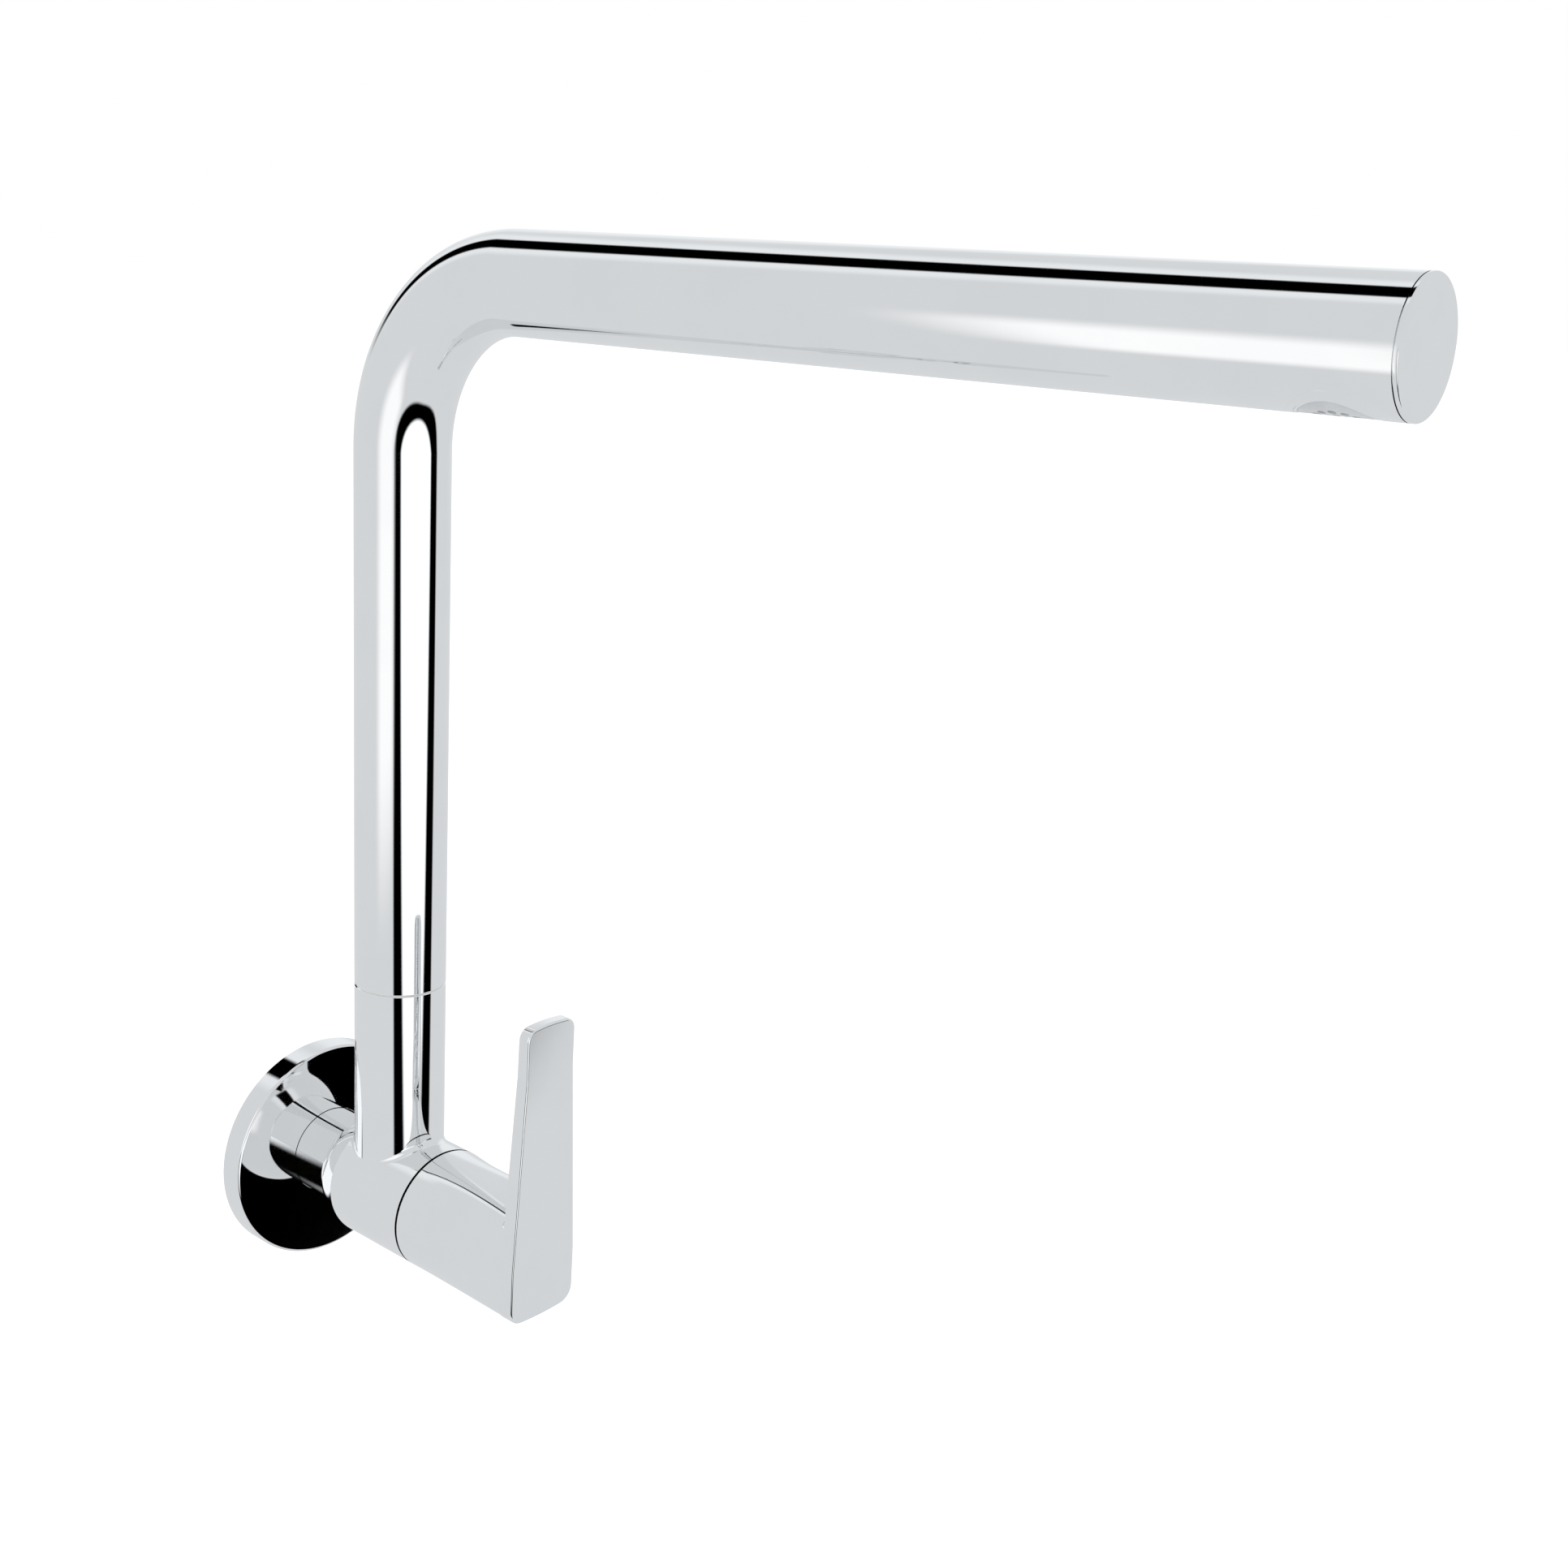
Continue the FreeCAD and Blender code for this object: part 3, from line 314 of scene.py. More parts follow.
def push(bm: bmesh.types.BMesh, edges: Sequence[bmesh.types.BMEdge], shift: Vector) -> list[bmesh.types.BMEdge]:
    """Extrudes a ring of edges along a shift and returns the new ring."""
    grown = bmesh.ops.extrude_edge_only(bm, edges=list(edges))["geom"]
    moved = {g for g in grown if isinstance(g, bmesh.types.BMVert)}
    bmesh.ops.translate(bm, verts=list(moved), vec=shift)
    return [g for g in grown if isinstance(g, bmesh.types.BMEdge) and all(v in moved for v in g.verts)]


def grow(bm: bmesh.types.BMesh, faces: Sequence[bmesh.types.BMFace], step: Matrix, steps: int,
         start: bool = False) -> list[bmesh.types.BMFace]:
    """Extrudes a patch of faces again and again and leaves no faces inside.

    Args:
        bm: the mesh that holds the patch.
        faces: the patch.
        step: how each new patch lies to the one before.
        steps: how many times.
        start: keeps the first patch, as the end of the solid.

    Returns:
        The last patch.
    """
    patch = list(faces)
    for i in range(steps):
        grown = bmesh.ops.extrude_face_region(bm, geom=patch)["geom"]
        bmesh.ops.transform(bm, matrix=step, verts=[g for g in grown if isinstance(g, bmesh.types.BMVert)])
        if i or not start:
            bmesh.ops.delete(bm, geom=[f for f in patch if f.is_valid], context="FACES_ONLY")
        patch = [g for g in grown if isinstance(g, bmesh.types.BMFace)]
    return patch


def reshape(bm: bmesh.types.BMesh, edges: Sequence[bmesh.types.BMEdge],
            move: Callable[[Vector], Vector]) -> list[bmesh.types.BMEdge]:
    """Extrudes a ring of edges and puts each new vertex where move() says."""
    ring = push(bm, edges, Vector())
    for vert in {v for e in ring for v in e.verts}:
        vert.co = move(vert.co)
    return ring


def ring_at(bm: bmesh.types.BMesh, radius: float, centre: Vector, axis: Vector,
            segments: int) -> list[bmesh.types.BMEdge]:
    """An open circle of edges about an axis through centre."""
    made = bmesh.ops.create_circle(bm, cap_ends=False, segments=segments, radius=radius)["verts"]
    turned = axis.to_track_quat("Z", "Y").to_matrix().to_4x4()
    bmesh.ops.transform(bm, matrix=Matrix.Translation(centre) @ turned, verts=made)
    return list({e for v in made for e in v.link_edges})


def crisp(bm: bmesh.types.BMesh, degrees: float = 32.0) -> None:
    """Smooth faces with sharp edges where the surface turns by more than the given angle."""
    limit = math.radians(degrees)
    for face in bm.faces:
        face.smooth = True
    for edge in bm.edges:
        if len(edge.link_faces) == 2:
            edge.smooth = edge.calc_face_angle(0.0) < limit


def finished(bm: bmesh.types.BMesh, name: str, degrees: float = 32.0) -> bpy.types.Object:
    """Turns a bmesh into a named object with outward normals and even highlights.

    Args:
        bm: the mesh, freed here.
        name: name of the object and its mesh.
        degrees: edges that turn by more stay sharp.

    Returns:
        The object, linked to the scene.
    """
    bmesh.ops.remove_doubles(bm, verts=bm.verts, dist=1e-7)
    bmesh.ops.recalc_face_normals(bm, faces=bm.faces)
    crisp(bm, degrees)
    mesh = bpy.data.meshes.new(name)
    bm.to_mesh(mesh)
    bm.free()
    made = bpy.data.objects.new(name, mesh)
    bpy.context.scene.collection.objects.link(made)
    return made


def even_highlights(obj: bpy.types.Object) -> None:
    """Large faces set the normals of the small ones beside them, as polishing does."""
    weighted = obj.modifiers.new("even_highlights", "WEIGHTED_NORMAL")
    weighted.keep_sharp = True
    weighted.weight = 90


def cut(obj: bpy.types.Object, cutter: bpy.types.Object, merge: bool = False) -> None:
    """Cuts one closed mesh out of another and throws the cutter away.

    Args:
        obj: the mesh that keeps its place.
        cutter: the closed mesh that is taken out of it.
        merge: also melts overlapping shells of obj into one skin.
    """
    tool = obj.modifiers.new("cut", "BOOLEAN")
    tool.operation = "DIFFERENCE"
    tool.solver = "EXACT"
    tool.use_self = merge
    tool.object = cutter
    bpy.context.view_layer.update()
    shape = bpy.data.meshes.new_from_object(obj.evaluated_get(bpy.context.evaluated_depsgraph_get()))
    obj.modifiers.clear()
    old = obj.data
    obj.data = shape
    shape.name = obj.name
    bpy.data.meshes.remove(old)
    bpy.data.objects.remove(cutter)


def peg(name: str, radius: float, start: Vector, end: Vector, segments: int = 64) -> bpy.types.Object:
    """A closed round bar between two points, used as a cutter."""
    bm = bmesh.new()
    axis = (end - start).normalized()
    ring = ring_at(bm, radius, start, axis, segments)
    last = push(bm, ring, end - start)
    bmesh.ops.holes_fill(bm, edges=[*ring, *last], sides=segments)
    return finished(bm, name)


def settle(obj: bpy.types.Object, finish: Finish, body: Rides, *nodes: str) -> None:
    """Gives a piece its finish, its body and the nodes it stands for."""
    obj.data.materials.clear()
    obj.data.materials.append(finish.build())
    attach(obj, body.value)
    if nodes:
        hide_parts(*nodes)
    LOG.info("%s: %d faces on %s", obj.name, len(obj.data.polygons), body.value)


def dress(node: str, finish: Finish) -> None:
    """Gives a carried over node its finish."""
    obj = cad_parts[node]
    obj.data.materials.clear()
    obj.data.materials.append(finish.build())
    LOG.info("%s dressed in %s", node, finish.name)


# ------------------------------------------------------------------ the tap's sub-assemblies


@dataclass
class SpoutTube:
    """The bent spout: riser, bend, arm and the outlet hole under its end."""

    bend: float = 43.3 * MM
    wall: float = 1.2 * MM
    around: int = 128
    bend_steps: int = 64
    run_steps: int = 16
    low: Vector = field(init=False)
    high: Vector = field(init=False)

    def __post_init__(self) -> None:
        """Reads the tube's place from the frame."""
        self.low, self.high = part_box("spout_tube")
        self.radius = self.high.x
        self.axis_y = self.high.y - self.radius
        self.arm_z = self.high.z - self.radius
        seat_low, seat_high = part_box("aerator_seat")
        self.outlet_y = 0.5 * (seat_low.y + seat_high.y)
        self.outlet_radius = seat_high.x + 0.03 * MM

    def build(self) -> None:
        """Grows the ring shaped section up, round the bend and along, then cuts the outlet."""
        bm = bmesh.new()
        foot = Vector((0.0, self.axis_y, self.low.z))
        rings = [ring_at(bm, r, foot, UP, self.around) for r in (self.radius, self.radius - self.wall)]
        section = bmesh.ops.bridge_loops(bm, edges=[*rings[0], *rings[1]])["faces"]
        rise = UP * ((self.arm_z - self.bend - self.low.z) / self.run_steps)
        top = grow(bm, section, Matrix.Translation(rise), self.run_steps, True)
        centre = Matrix.Translation(Vector((0.0, self.axis_y - self.bend, self.arm_z - self.bend)))
        tilt = Matrix.Rotation(math.radians(90.0) / self.bend_steps, 4, ACROSS)
        turned = grow(bm, top, centre @ tilt @ centre.inverted(), self.bend_steps)
        run = OUT * ((self.axis_y - self.bend - self.low.y) / self.run_steps)
        grow(bm, turned, Matrix.Translation(run), self.run_steps)
        tube = finished(bm, "spout_tube_shell")
        below = Vector((0.0, self.outlet_y, self.arm_z - 2.0 * self.radius))
        cut(tube, peg("outlet_cutter", self.outlet_radius, below, below + UP * 2.0 * self.radius, 96))
        even_highlights(tube)
        settle(tube, CHROME, Rides.SPOUT, "spout_tube")


@dataclass
class EndCap:
    """The flat disc that closes the arm, with its plug and a hairline seam behind its rim."""

    edge: float = 0.3 * MM
    seam: float = 0.25 * MM
    plug_wall: float = 2.0 * MM
    plug: float = 2.5 * MM
    plate: float = 1.0 * MM
    play: float = 1.23 * MM

    def build(self) -> None:
        """Turns the disc's outline about the arm."""
        low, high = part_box("spout_end_cap")
        radius, face = high.x, low.y
        middle = Vector((0.0, face, 0.5 * (low.z + high.z)))
        back = face + self.plate - self.seam
        outline = [middle, *arc(middle + UP * (radius - self.edge) - OUT * self.edge, OUT * self.edge,
                                UP * self.edge, 6)]
        plug_radius = radius - self.play
        bore_radius = plug_radius - self.plug_wall
        plug_end = back + self.seam + self.plug
        for reach, y in ((radius, back), (plug_radius, back), (plug_radius, plug_end), (bore_radius, plug_end),
                         (bore_radius, back), (0.0, back)):
            outline.append(Vector((0.0, y, middle.z + reach)))
        bm = bmesh.new()
        spin(bm, chain(bm, outline), middle, OUT, 128)
        cap = finished(bm, "spout_end_disc")
        even_highlights(cap)
        settle(cap, CHROME_CAP, Rides.SPOUT, "spout_end_cap")


@dataclass
class ValveBody:
    """The casting: neck, dome and barrel about the inlet axis, and the upright stem."""

    dome_centre: float = -31.1 * MM
    axis_y: float = -39.0 * MM
    stem_radius: float = 12.5 * MM
    foot_round: float = 2.0 * MM
    stem_bore: float = 9.5 * MM
    bore_floor: float = 22.0 * MM
    thread_bore: float = 10.5 * MM
    bore_front: float = 14.5 * MM
    chamber_floor: float = -32.0 * MM
    screw_play: float = 0.03 * MM
    around: int = 160
    foot_steps: int = 12

    def __post_init__(self) -> None:
        """Reads the casting's place from the frame."""
        low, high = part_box("valve_body")
        self.radius = high.x
        self.front, self.back, self.top = low.y, high.y, high.z
        self.neck = self.stem_radius

    def barrel(self, bm: bmesh.types.BMesh) -> None:
        """Neck, dome, barrel and the two bores, as one turned shell."""
        dome_start = math.asin(self.neck / self.radius)
        steps = 40
        turns = [dome_start + (0.5 * math.pi - dome_start) * i / steps for i in range(steps + 1)]
        points = [(0.0, -self.bore_front), (self.thread_bore, -self.bore_front), (self.thread_bore, self.back),
                  (self.neck, self.back)]
        points += [(self.radius * math.sin(t), self.dome_centre + self.radius * math.cos(t)) for t in turns]
        points += [(self.radius, self.front), (self.thread_bore, self.front),
                   (self.thread_bore, self.chamber_floor), (0.0, self.chamber_floor)]
        spin(bm, chain(bm, [Vector((0.0, y, r)) for r, y in points]), Vector(), OUT, self.around)

    def foot_point(self, turn: float, lift: float) -> Vector:
        """A point of the fillet at the stem's foot.

        Args:
            turn: angle round the stem.
            lift: 0 on the casting, 1 on the stem.

        Returns:
            The point in the shared frame.
        """
        off = self.stem_radius + self.foot_round
        far = self.radius + self.foot_round
        x, y = off * math.cos(turn), self.axis_y + off * math.sin(turn)
        behind = max(y - self.dome_centre, 0.0)
        core = Vector((x, y, math.sqrt(far ** 2 - x ** 2 - behind ** 2)))
        root = Vector((0.0, y - behind, 0.0))
        to_casting = (root - core).normalized()
        to_stem = Vector((-math.cos(turn), -math.sin(turn), 0.0))
        return core + to_casting.slerp(to_stem, lift) * self.foot_round

    def stem(self, bm: bmesh.types.BMesh) -> None:
        """The stem from a plug inside the barrel, over the fillet, to its bore's floor."""
        turns = [2.0 * math.pi * i / self.around for i in range(self.around)]
        ring = chain(bm, [Vector((0.6 * p.x, self.axis_y + 0.6 * (p.y - self.axis_y), 0.5 * self.radius))
                          for p in (self.foot_point(t, 0.0) for t in turns)], closed=True)
        bmesh.ops.holes_fill(bm, edges=ring, sides=self.around)

        def turn_of(p: Vector) -> float:
            """The angle of a point round the stem."""
            return math.atan2(p.y - self.axis_y, p.x)

        for step in range(self.foot_steps + 1):
            lift = step / self.foot_steps
            ring = reshape(bm, ring, lambda p, part=lift: self.foot_point(turn_of(p), part))
        edge = 0.25 * MM
        ring = reshape(bm, ring, lambda p: Vector((p.x, p.y, self.top - edge)))

        def pulled(radius: float, z: float) -> Callable[[Vector], Vector]:
            """Moves a ring to a radius and a height."""
            def move(p: Vector) -> Vector:
                t = turn_of(p)
                return Vector((radius * math.cos(t), self.axis_y + radius * math.sin(t), z))
            return move

        for radius, z in ((self.stem_radius - edge, self.top), (self.stem_bore, self.top),
                          (self.stem_bore, self.bore_floor)):
            ring = reshape(bm, ring, pulled(radius, z))
        bmesh.ops.holes_fill(bm, edges=ring, sides=self.around)

    def build(self) -> None:
        """Both shells as one piece, with the stop screw's hole at the back of the stem."""
        bm = bmesh.new()
        self.barrel(bm)
        self.stem(bm)
        casting = finished(bm, "tap_casting")
        low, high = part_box("stop_screw")
        centre = 0.5 * (low + high)
        behind = Vector((0.0, self.axis_y + 2.0 * self.stem_radius, centre.z))
        cut(casting, peg("stop_cutter", high.x + self.screw_play, behind,
                         Vector((0.0, self.axis_y + 0.8 * self.stem_bore, centre.z)), 48), True)
        even_highlights(casting)
        settle(casting, CHROME, Rides.TAP, "valve_body")


@dataclass
class WallFlange:
    """The pressed escutcheon on the wall."""

    sheet: float = 1.2 * MM
    edge: float = 0.8 * MM
    collar_radius: float = 12.65 * MM
    collar_back: float = -1.6 * MM

    def build(self) -> None:
        """Turns the shell's outline about the inlet axis."""
        low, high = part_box("wall_flange")
        radius, face = high.x, low.y
        points = [(radius - self.sheet, 0.0), (radius, 0.0)]
        rim = arc(Vector((0.0, face + self.edge, radius - self.edge)), UP * self.edge, OUT * self.edge, 8)
        points += [(p.z, p.y) for p in rim]
        inner = face + self.sheet
        points += [(self.collar_radius, face), (self.collar_radius, self.collar_back),
                   (self.collar_radius + self.sheet, self.collar_back),
                   (self.collar_radius + self.sheet, inner),
                   (radius - self.sheet - self.edge, inner), (radius - self.sheet, inner + self.edge),
                   (radius - self.sheet, 0.0)]
        bm = bmesh.new()
        spin(bm, chain(bm, [Vector((0.0, y, r)) for r, y in points]), Vector(), OUT, 192)
        plate = finished(bm, "flange_shell")
        even_highlights(plate)
        settle(plate, CHROME, Rides.TAP, "wall_flange")


@dataclass
class InletNipple:
    """The inlet barrel: a pipe thread of 14 to the inch at each end and a relief between them."""

    pitch: float = 25.4 / 14 * MM
    depth: float = 1.162 * MM
    relief: float = 9.2 * MM
    relief_end: float = -2.0 * MM
    bore: float = 7.0 * MM
    turn_steps: int = 72

    def thread(self, bm: bmesh.types.BMesh, root: float, crest: float, back: float, front: float) -> None:
        """One long tooth wound round the barrel between two places on the inlet axis."""
        start = front + 0.6 * self.pitch
        length = back - front - 1.2 * self.pitch
        turns = length / self.pitch
        steps = round(turns * self.turn_steps)
        foot, flat = 0.47 * self.pitch, 0.09 * self.pitch
        sunk = root - 0.2 * MM
        tooth = [(sunk, -foot), (root, -foot), (crest, -flat), (crest, flat), (root, foot), (sunk, foot)]
        edges = chain(bm, [Vector((0.0, start + y, r)) for r, y in tooth], closed=True)
        verts = {v for e in edges for v in e.verts}
        last = bmesh.ops.spin(bm, geom=[*verts, *edges], cent=(0.0, 0.0, 0.0), axis=-OUT,
                              angle=2.0 * math.pi * turns, steps=steps,
                              dvec=(0.0, length / steps, 0.0))["geom_last"]
        ends = [g for g in last if isinstance(g, bmesh.types.BMEdge)]
        for ring in (edges, ends):
            bmesh.ops.holes_fill(bm, edges=ring, sides=len(tooth))

    def build(self) -> None:
        """A turned core and the two threads wound round it."""
        low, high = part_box("inlet_nipple")
        crest = high.x
        root = crest - self.depth
        bevel = 0.4 * MM
        bm = bmesh.new()
        points = [(self.bore, low.y), (root - bevel, low.y), (root, low.y + bevel), (root, self.relief_end),
                  (self.relief, self.relief_end), (self.relief, 0.0), (root, 0.0), (root, high.y - bevel),
                  (root - bevel, high.y), (self.bore, high.y), (self.bore, low.y)]
        spin(bm, chain(bm, [Vector((0.0, y, r)) for r, y in points]), Vector(), OUT, 96)
        self.thread(bm, root, crest, high.y, 0.0)
        self.thread(bm, root, crest, self.relief_end, low.y)
        nipple = finished(bm, "threaded_inlet", 24.0)
        settle(nipple, BRASS_TURNED, Rides.TAP, "inlet_nipple")


@dataclass
class Lever:
    """The one piece handle: a hub that goes from round to square, and the upright plate."""

    joint: float = 58.8 * MM
    hub_end: float = 95.0 * MM
    hub_top: float = 15.0 * MM
    joint_radius: float = 17.0 * MM
    hollow: float = 13.5 * MM
    hollow_floor: float = 70.0 * MM
    half: float = 11.25 * MM
    tip_half: float = 8.3 * MM
    taper_end: float = 55.0 * MM
    bottom: float = 15.9 * MM
    low_corner: float = 4.5 * MM
    shoulder_round: float = 5.0 * MM
    tip_corner: float = 3.4 * MM
    face_low: float = 98.8 * MM
    lean: float = 1.3 * MM
    thick_low: float = 5.0 * MM
    thick_top: float = 3.5 * MM
    edge: float = 0.6 * MM
    inset: float = 0.08 * MM
    crown: float = 0.25 * MM
    blend: float = 4.0 * MM
    blend_half: float = 6.4 * MM
    leaf_turn: float = 1.5
    screw_play: float = 0.03 * MM
    insert_bore: float = 6.45 * MM
    insert_end: float = 81.5 * MM
    rule_steps: int = 20

    def __post_init__(self) -> None:
        """Reads the lever's height from the frame."""
        self.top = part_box("lever_handle")[1].z - self.crown

    def half_at(self, z: float) -> float:
        """Half the plate's width at a height."""
        return self.half + (self.tip_half - self.half) * min(max(z / self.taper_end, 0.0), 1.0)

    def face_at(self, z: float) -> float:
        """How far the plate's face stands out at a height."""
        return self.face_low + self.lean * (z + self.bottom) / (self.top + self.bottom)

    def back_at(self, z: float) -> float:
        """How far the plate's back stands out at a height."""
        part = min(max((z + self.bottom) / (self.top + self.bottom), 0.0), 1.0)
        return self.face_at(z) - self.thick_low + (self.thick_low - self.thick_top) * part

    def hub_edges(self) -> list[tuple[int, float, float, Callable[[float], tuple[float, float]]]]:
        """The hub's ten edges: steps, first and last joint angle, and the front outline along each.

        Returns:
            One entry per edge, clockwise from the left end of the top facet.
        """
        half, low, r = self.half - self.inset, self.bottom - self.inset, self.low_corner
        q = self.shoulder_round
        side = self.half_at(self.hub_top - q) - self.inset
        turn_down = self.hub_top - q

        def line(a: tuple[float, float], b: tuple[float, float]) -> Callable[[float], tuple[float, float]]:
            """Straight from a to b."""
            return lambda u: (a[0] + (b[0] - a[0]) * u, a[1] + (b[1] - a[1]) * u)

        def bow(cx: float, cz: float, radius: float, start: float) -> Callable[[float], tuple[float, float]]:
            """A quarter turn, clockwise from an angle, round the centre cx, cz."""
            def at(u: float) -> tuple[float, float]:
                t = math.radians(start - 90.0 * u)
                return (cx + radius * math.cos(t), cz + radius * math.sin(t))
            return at

        def belly(u: float) -> tuple[float, float]:
            """The slightly crowned lower edge."""
            x = (half - r) * (1.0 - 2.0 * u)
            return (x, -low - self.crown * (1.0 - (x / (half - r)) ** 2))

        leaf = self.leaf_turn
        return [
            (6, 90.0 + leaf, 90.0 - leaf, line((q - side, self.hub_top), (side - q, self.hub_top))),
            (14, 90.0 - leaf, 60.0, bow(side - q, turn_down, q, 90.0)),
            (14, 60.0, 0.0, line((side, turn_down), (half, 0.0))),
            (12, 0.0, -45.0, line((half, 0.0), (half, r - low))),
            (12, -45.0, -70.0, bow(half - r, r - low, r, 0.0)),
            (12, -70.0, -110.0, belly),
            (12, -110.0, -135.0, bow(r - half, r - low, r, -90.0)),
            (12, -135.0, -180.0, line((-half, r - low), (-half, 0.0))),
            (14, -180.0, -240.0, line((-half, 0.0), (-side, turn_down))),
            (14, -240.0, -270.0 + leaf, bow(q - side, turn_down, q, 180.0)),
        ]

    def hub(self, bm: bmesh.types.BMesh) -> None:
        """The hub's ruled skin, its front plug and its hollow back."""
        rounds, fronts = [], []
        for steps, first, last, outline in self.hub_edges():
            for i in range(steps):
                u = i / steps
                t = math.radians(first + (last - first) * u)
                on_joint = ACROSS * math.cos(t) + UP * math.sin(t)
                rounds.append(on_joint * self.joint_radius + OUT * self.joint)
                x, z = outline(u)
                fronts.append(Vector((x, -self.hub_end, z)))
        rings = []
        for step in range(self.rule_steps + 1):
            u = step / self.rule_steps
            rings.append(chain(bm, [a.lerp(b, u) for a, b in zip(rounds, fronts)], closed=True))
        for before, after in zip(rings, rings[1:]):
            bmesh.ops.bridge_loops(bm, edges=[*before, *after])
        plug = reshape(bm, rings[-1], lambda p: Vector((0.9 * p.x, p.y - 1.5 * MM, 0.9 * p.z)))
        bmesh.ops.holes_fill(bm, edges=plug, sides=len(rounds))

        def drawn(radius: float, out: float) -> Callable[[Vector], Vector]:
            """Moves a ring to a radius about the inlet axis."""
            return lambda p: Vector((p.x, 0.0, p.z)).normalized() * radius + OUT * out

        ring = rings[0]
        for radius, out in ((self.hollow, self.joint), (self.hollow, self.hollow_floor),
                            (self.insert_bore, self.hollow_floor), (self.insert_bore, self.insert_end)):
            ring = reshape(bm, ring, drawn(radius, out))
        bmesh.ops.holes_fill(bm, edges=ring, sides=len(rounds))

    def outline(self) -> list[Vector]:
        """The plate's outline seen from the front, from its lower left corner, counter-clockwise."""
        points = []
        low, high = -self.bottom, self.top
        r, q = self.low_corner, self.tip_corner
        span = self.half - r
        for i in range(17):
            x = -span + 2.0 * span * i / 16
            points.append(Vector((x, 0.0, low - self.crown * (1.0 - (x / span) ** 2))))
        corner = Vector((span, 0.0, low + r))
        points += arc(corner, -UP * r, ACROSS * r, 10)[1:]
        points += [Vector((self.half_at(z), 0.0, z)) for z in (0.0, 0.25 * self.taper_end, 0.5 * self.taper_end,
                                                               0.75 * self.taper_end, self.taper_end)]
        corner = Vector((self.tip_half - q, 0.0, high - q))
        points += arc(corner, ACROSS * q, UP * q, 10)
        span = self.tip_half - q
        for i in range(1, 8):
            x = span - 2.0 * span * i / 8
            points.append(Vector((x, 0.0, high + self.crown * (1.0 - (x / span) ** 2))))
        right = [p for p in points if p.x > span + 1e-9 and p.z > low + 0.5 * r or p.x > self.half - r + 1e-9]
        points += [Vector((-p.x, 0.0, p.z)) for p in reversed(right)]
        points.insert(-len(right), Vector((-span, 0.0, high)))
        return points

    def plate(self, bm: bmesh.types.BMesh) -> None:
        """The upright plate with leaning faces and rounded rims."""
        points = self.outline()
        back = chain(bm, [Vector((p.x, -self.back_at(p.z), p.z)) for p in points], closed=True)
        front = chain(bm, [Vector((p.x, -self.face_at(p.z), p.z)) for p in points], closed=True)
        bmesh.ops.bridge_loops(bm, edges=[*back, *front])
        bmesh.ops.holes_fill(bm, edges=[*back, *front], sides=len(points))
        bmesh.ops.bevel(bm, geom=front, offset=self.edge, segments=5, profile=0.5, affect="EDGES", material=-1,
                        clamp_overlap=True)
        rim = [e for e in back if e.is_valid]
        bmesh.ops.bevel(bm, geom=rim, offset=0.5 * self.edge, segments=3, profile=0.5, affect="EDGES",
                        material=-1, clamp_overlap=True)

    def root_blend(self, bm: bmesh.types.BMesh) -> None:
        """The hollow curve between the plate's back and the hub's top facet."""
        foot = self.hub_top + 0.12 * MM
        wide = self.blend_half
        reach = self.back_at(self.hub_top + self.blend)
        start = reach - self.blend
        section = [Vector((0.0, -reach - 0.5 * MM, foot - 1.0 * MM)), Vector((0.0, -start, foot - 1.0 * MM))]
        centre = Vector((0.0, -start, foot + self.blend))
        section += arc(centre, -UP * self.blend, OUT * self.blend, 12)
        section.append(Vector((0.0, -reach - 0.5 * MM, foot + self.blend)))
        edges = chain(bm, [p - ACROSS * wide for p in section], closed=True)
        far = push(bm, edges, ACROSS * 2.0 * wide)
        bmesh.ops.holes_fill(bm, edges=edges, sides=len(section))
        bmesh.ops.holes_fill(bm, edges=far, sides=len(section))

    def build(self) -> None:
        """Hub, plate and blend as one handle, with the set screw's hole below."""
        bm = bmesh.new()
        self.hub(bm)
        self.plate(bm)
        self.root_blend(bm)
        handle = finished(bm, "lever_shell", 20.0)
        low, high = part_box("handle_set_screw")
        below = Vector((0.0, 0.5 * (low.y + high.y), -2.0 * self.joint_radius))
        inside = below + UP * 1.5 * self.joint_radius
        cut(handle, peg("screw_cutter", high.x + self.screw_play, below, inside, 48), True)
        even_highlights(handle)
        settle(handle, CHROME, Rides.HANDLE, "lever_handle")


@dataclass(frozen=True)
class Insides:
    """Carried over nodes and the finish each one gets."""

    finishes: tuple[tuple[Finish, tuple[str, ...]], ...] = (
        (CHROME, ("aerator_seat", "aerator_housing")),
        (BRASS_TURNED, ("headwork_body", "spindle")),
        (BRASS_SPOUT, ("spout_spigot",)),
        (RUBBER, ("flange_o_ring", "headwork_o_ring", "disc_seat_seal", "spindle_o_rings", "spigot_o_rings",
                  "aerator_washer")),
        (CERAMIC, ("fixed_ceramic_disc", "moving_ceramic_disc")),
        (STEEL, ("stop_screw", "handle_set_screw", "spindle_clip", "aerator_screen")),
        (PLASTIC, ("thrust_washer", "lower_glide_ring", "upper_glide_ring", "handle_insert")),
        (PLASTIC_GREY, ("aerator_insert",)),
    )

    def dress(self) -> None:
        """Dresses every carried over node."""
        for finish, nodes in self.finishes:
            for node in nodes:
                dress(node, finish)


# ------------------------------------------------------------------ the studio


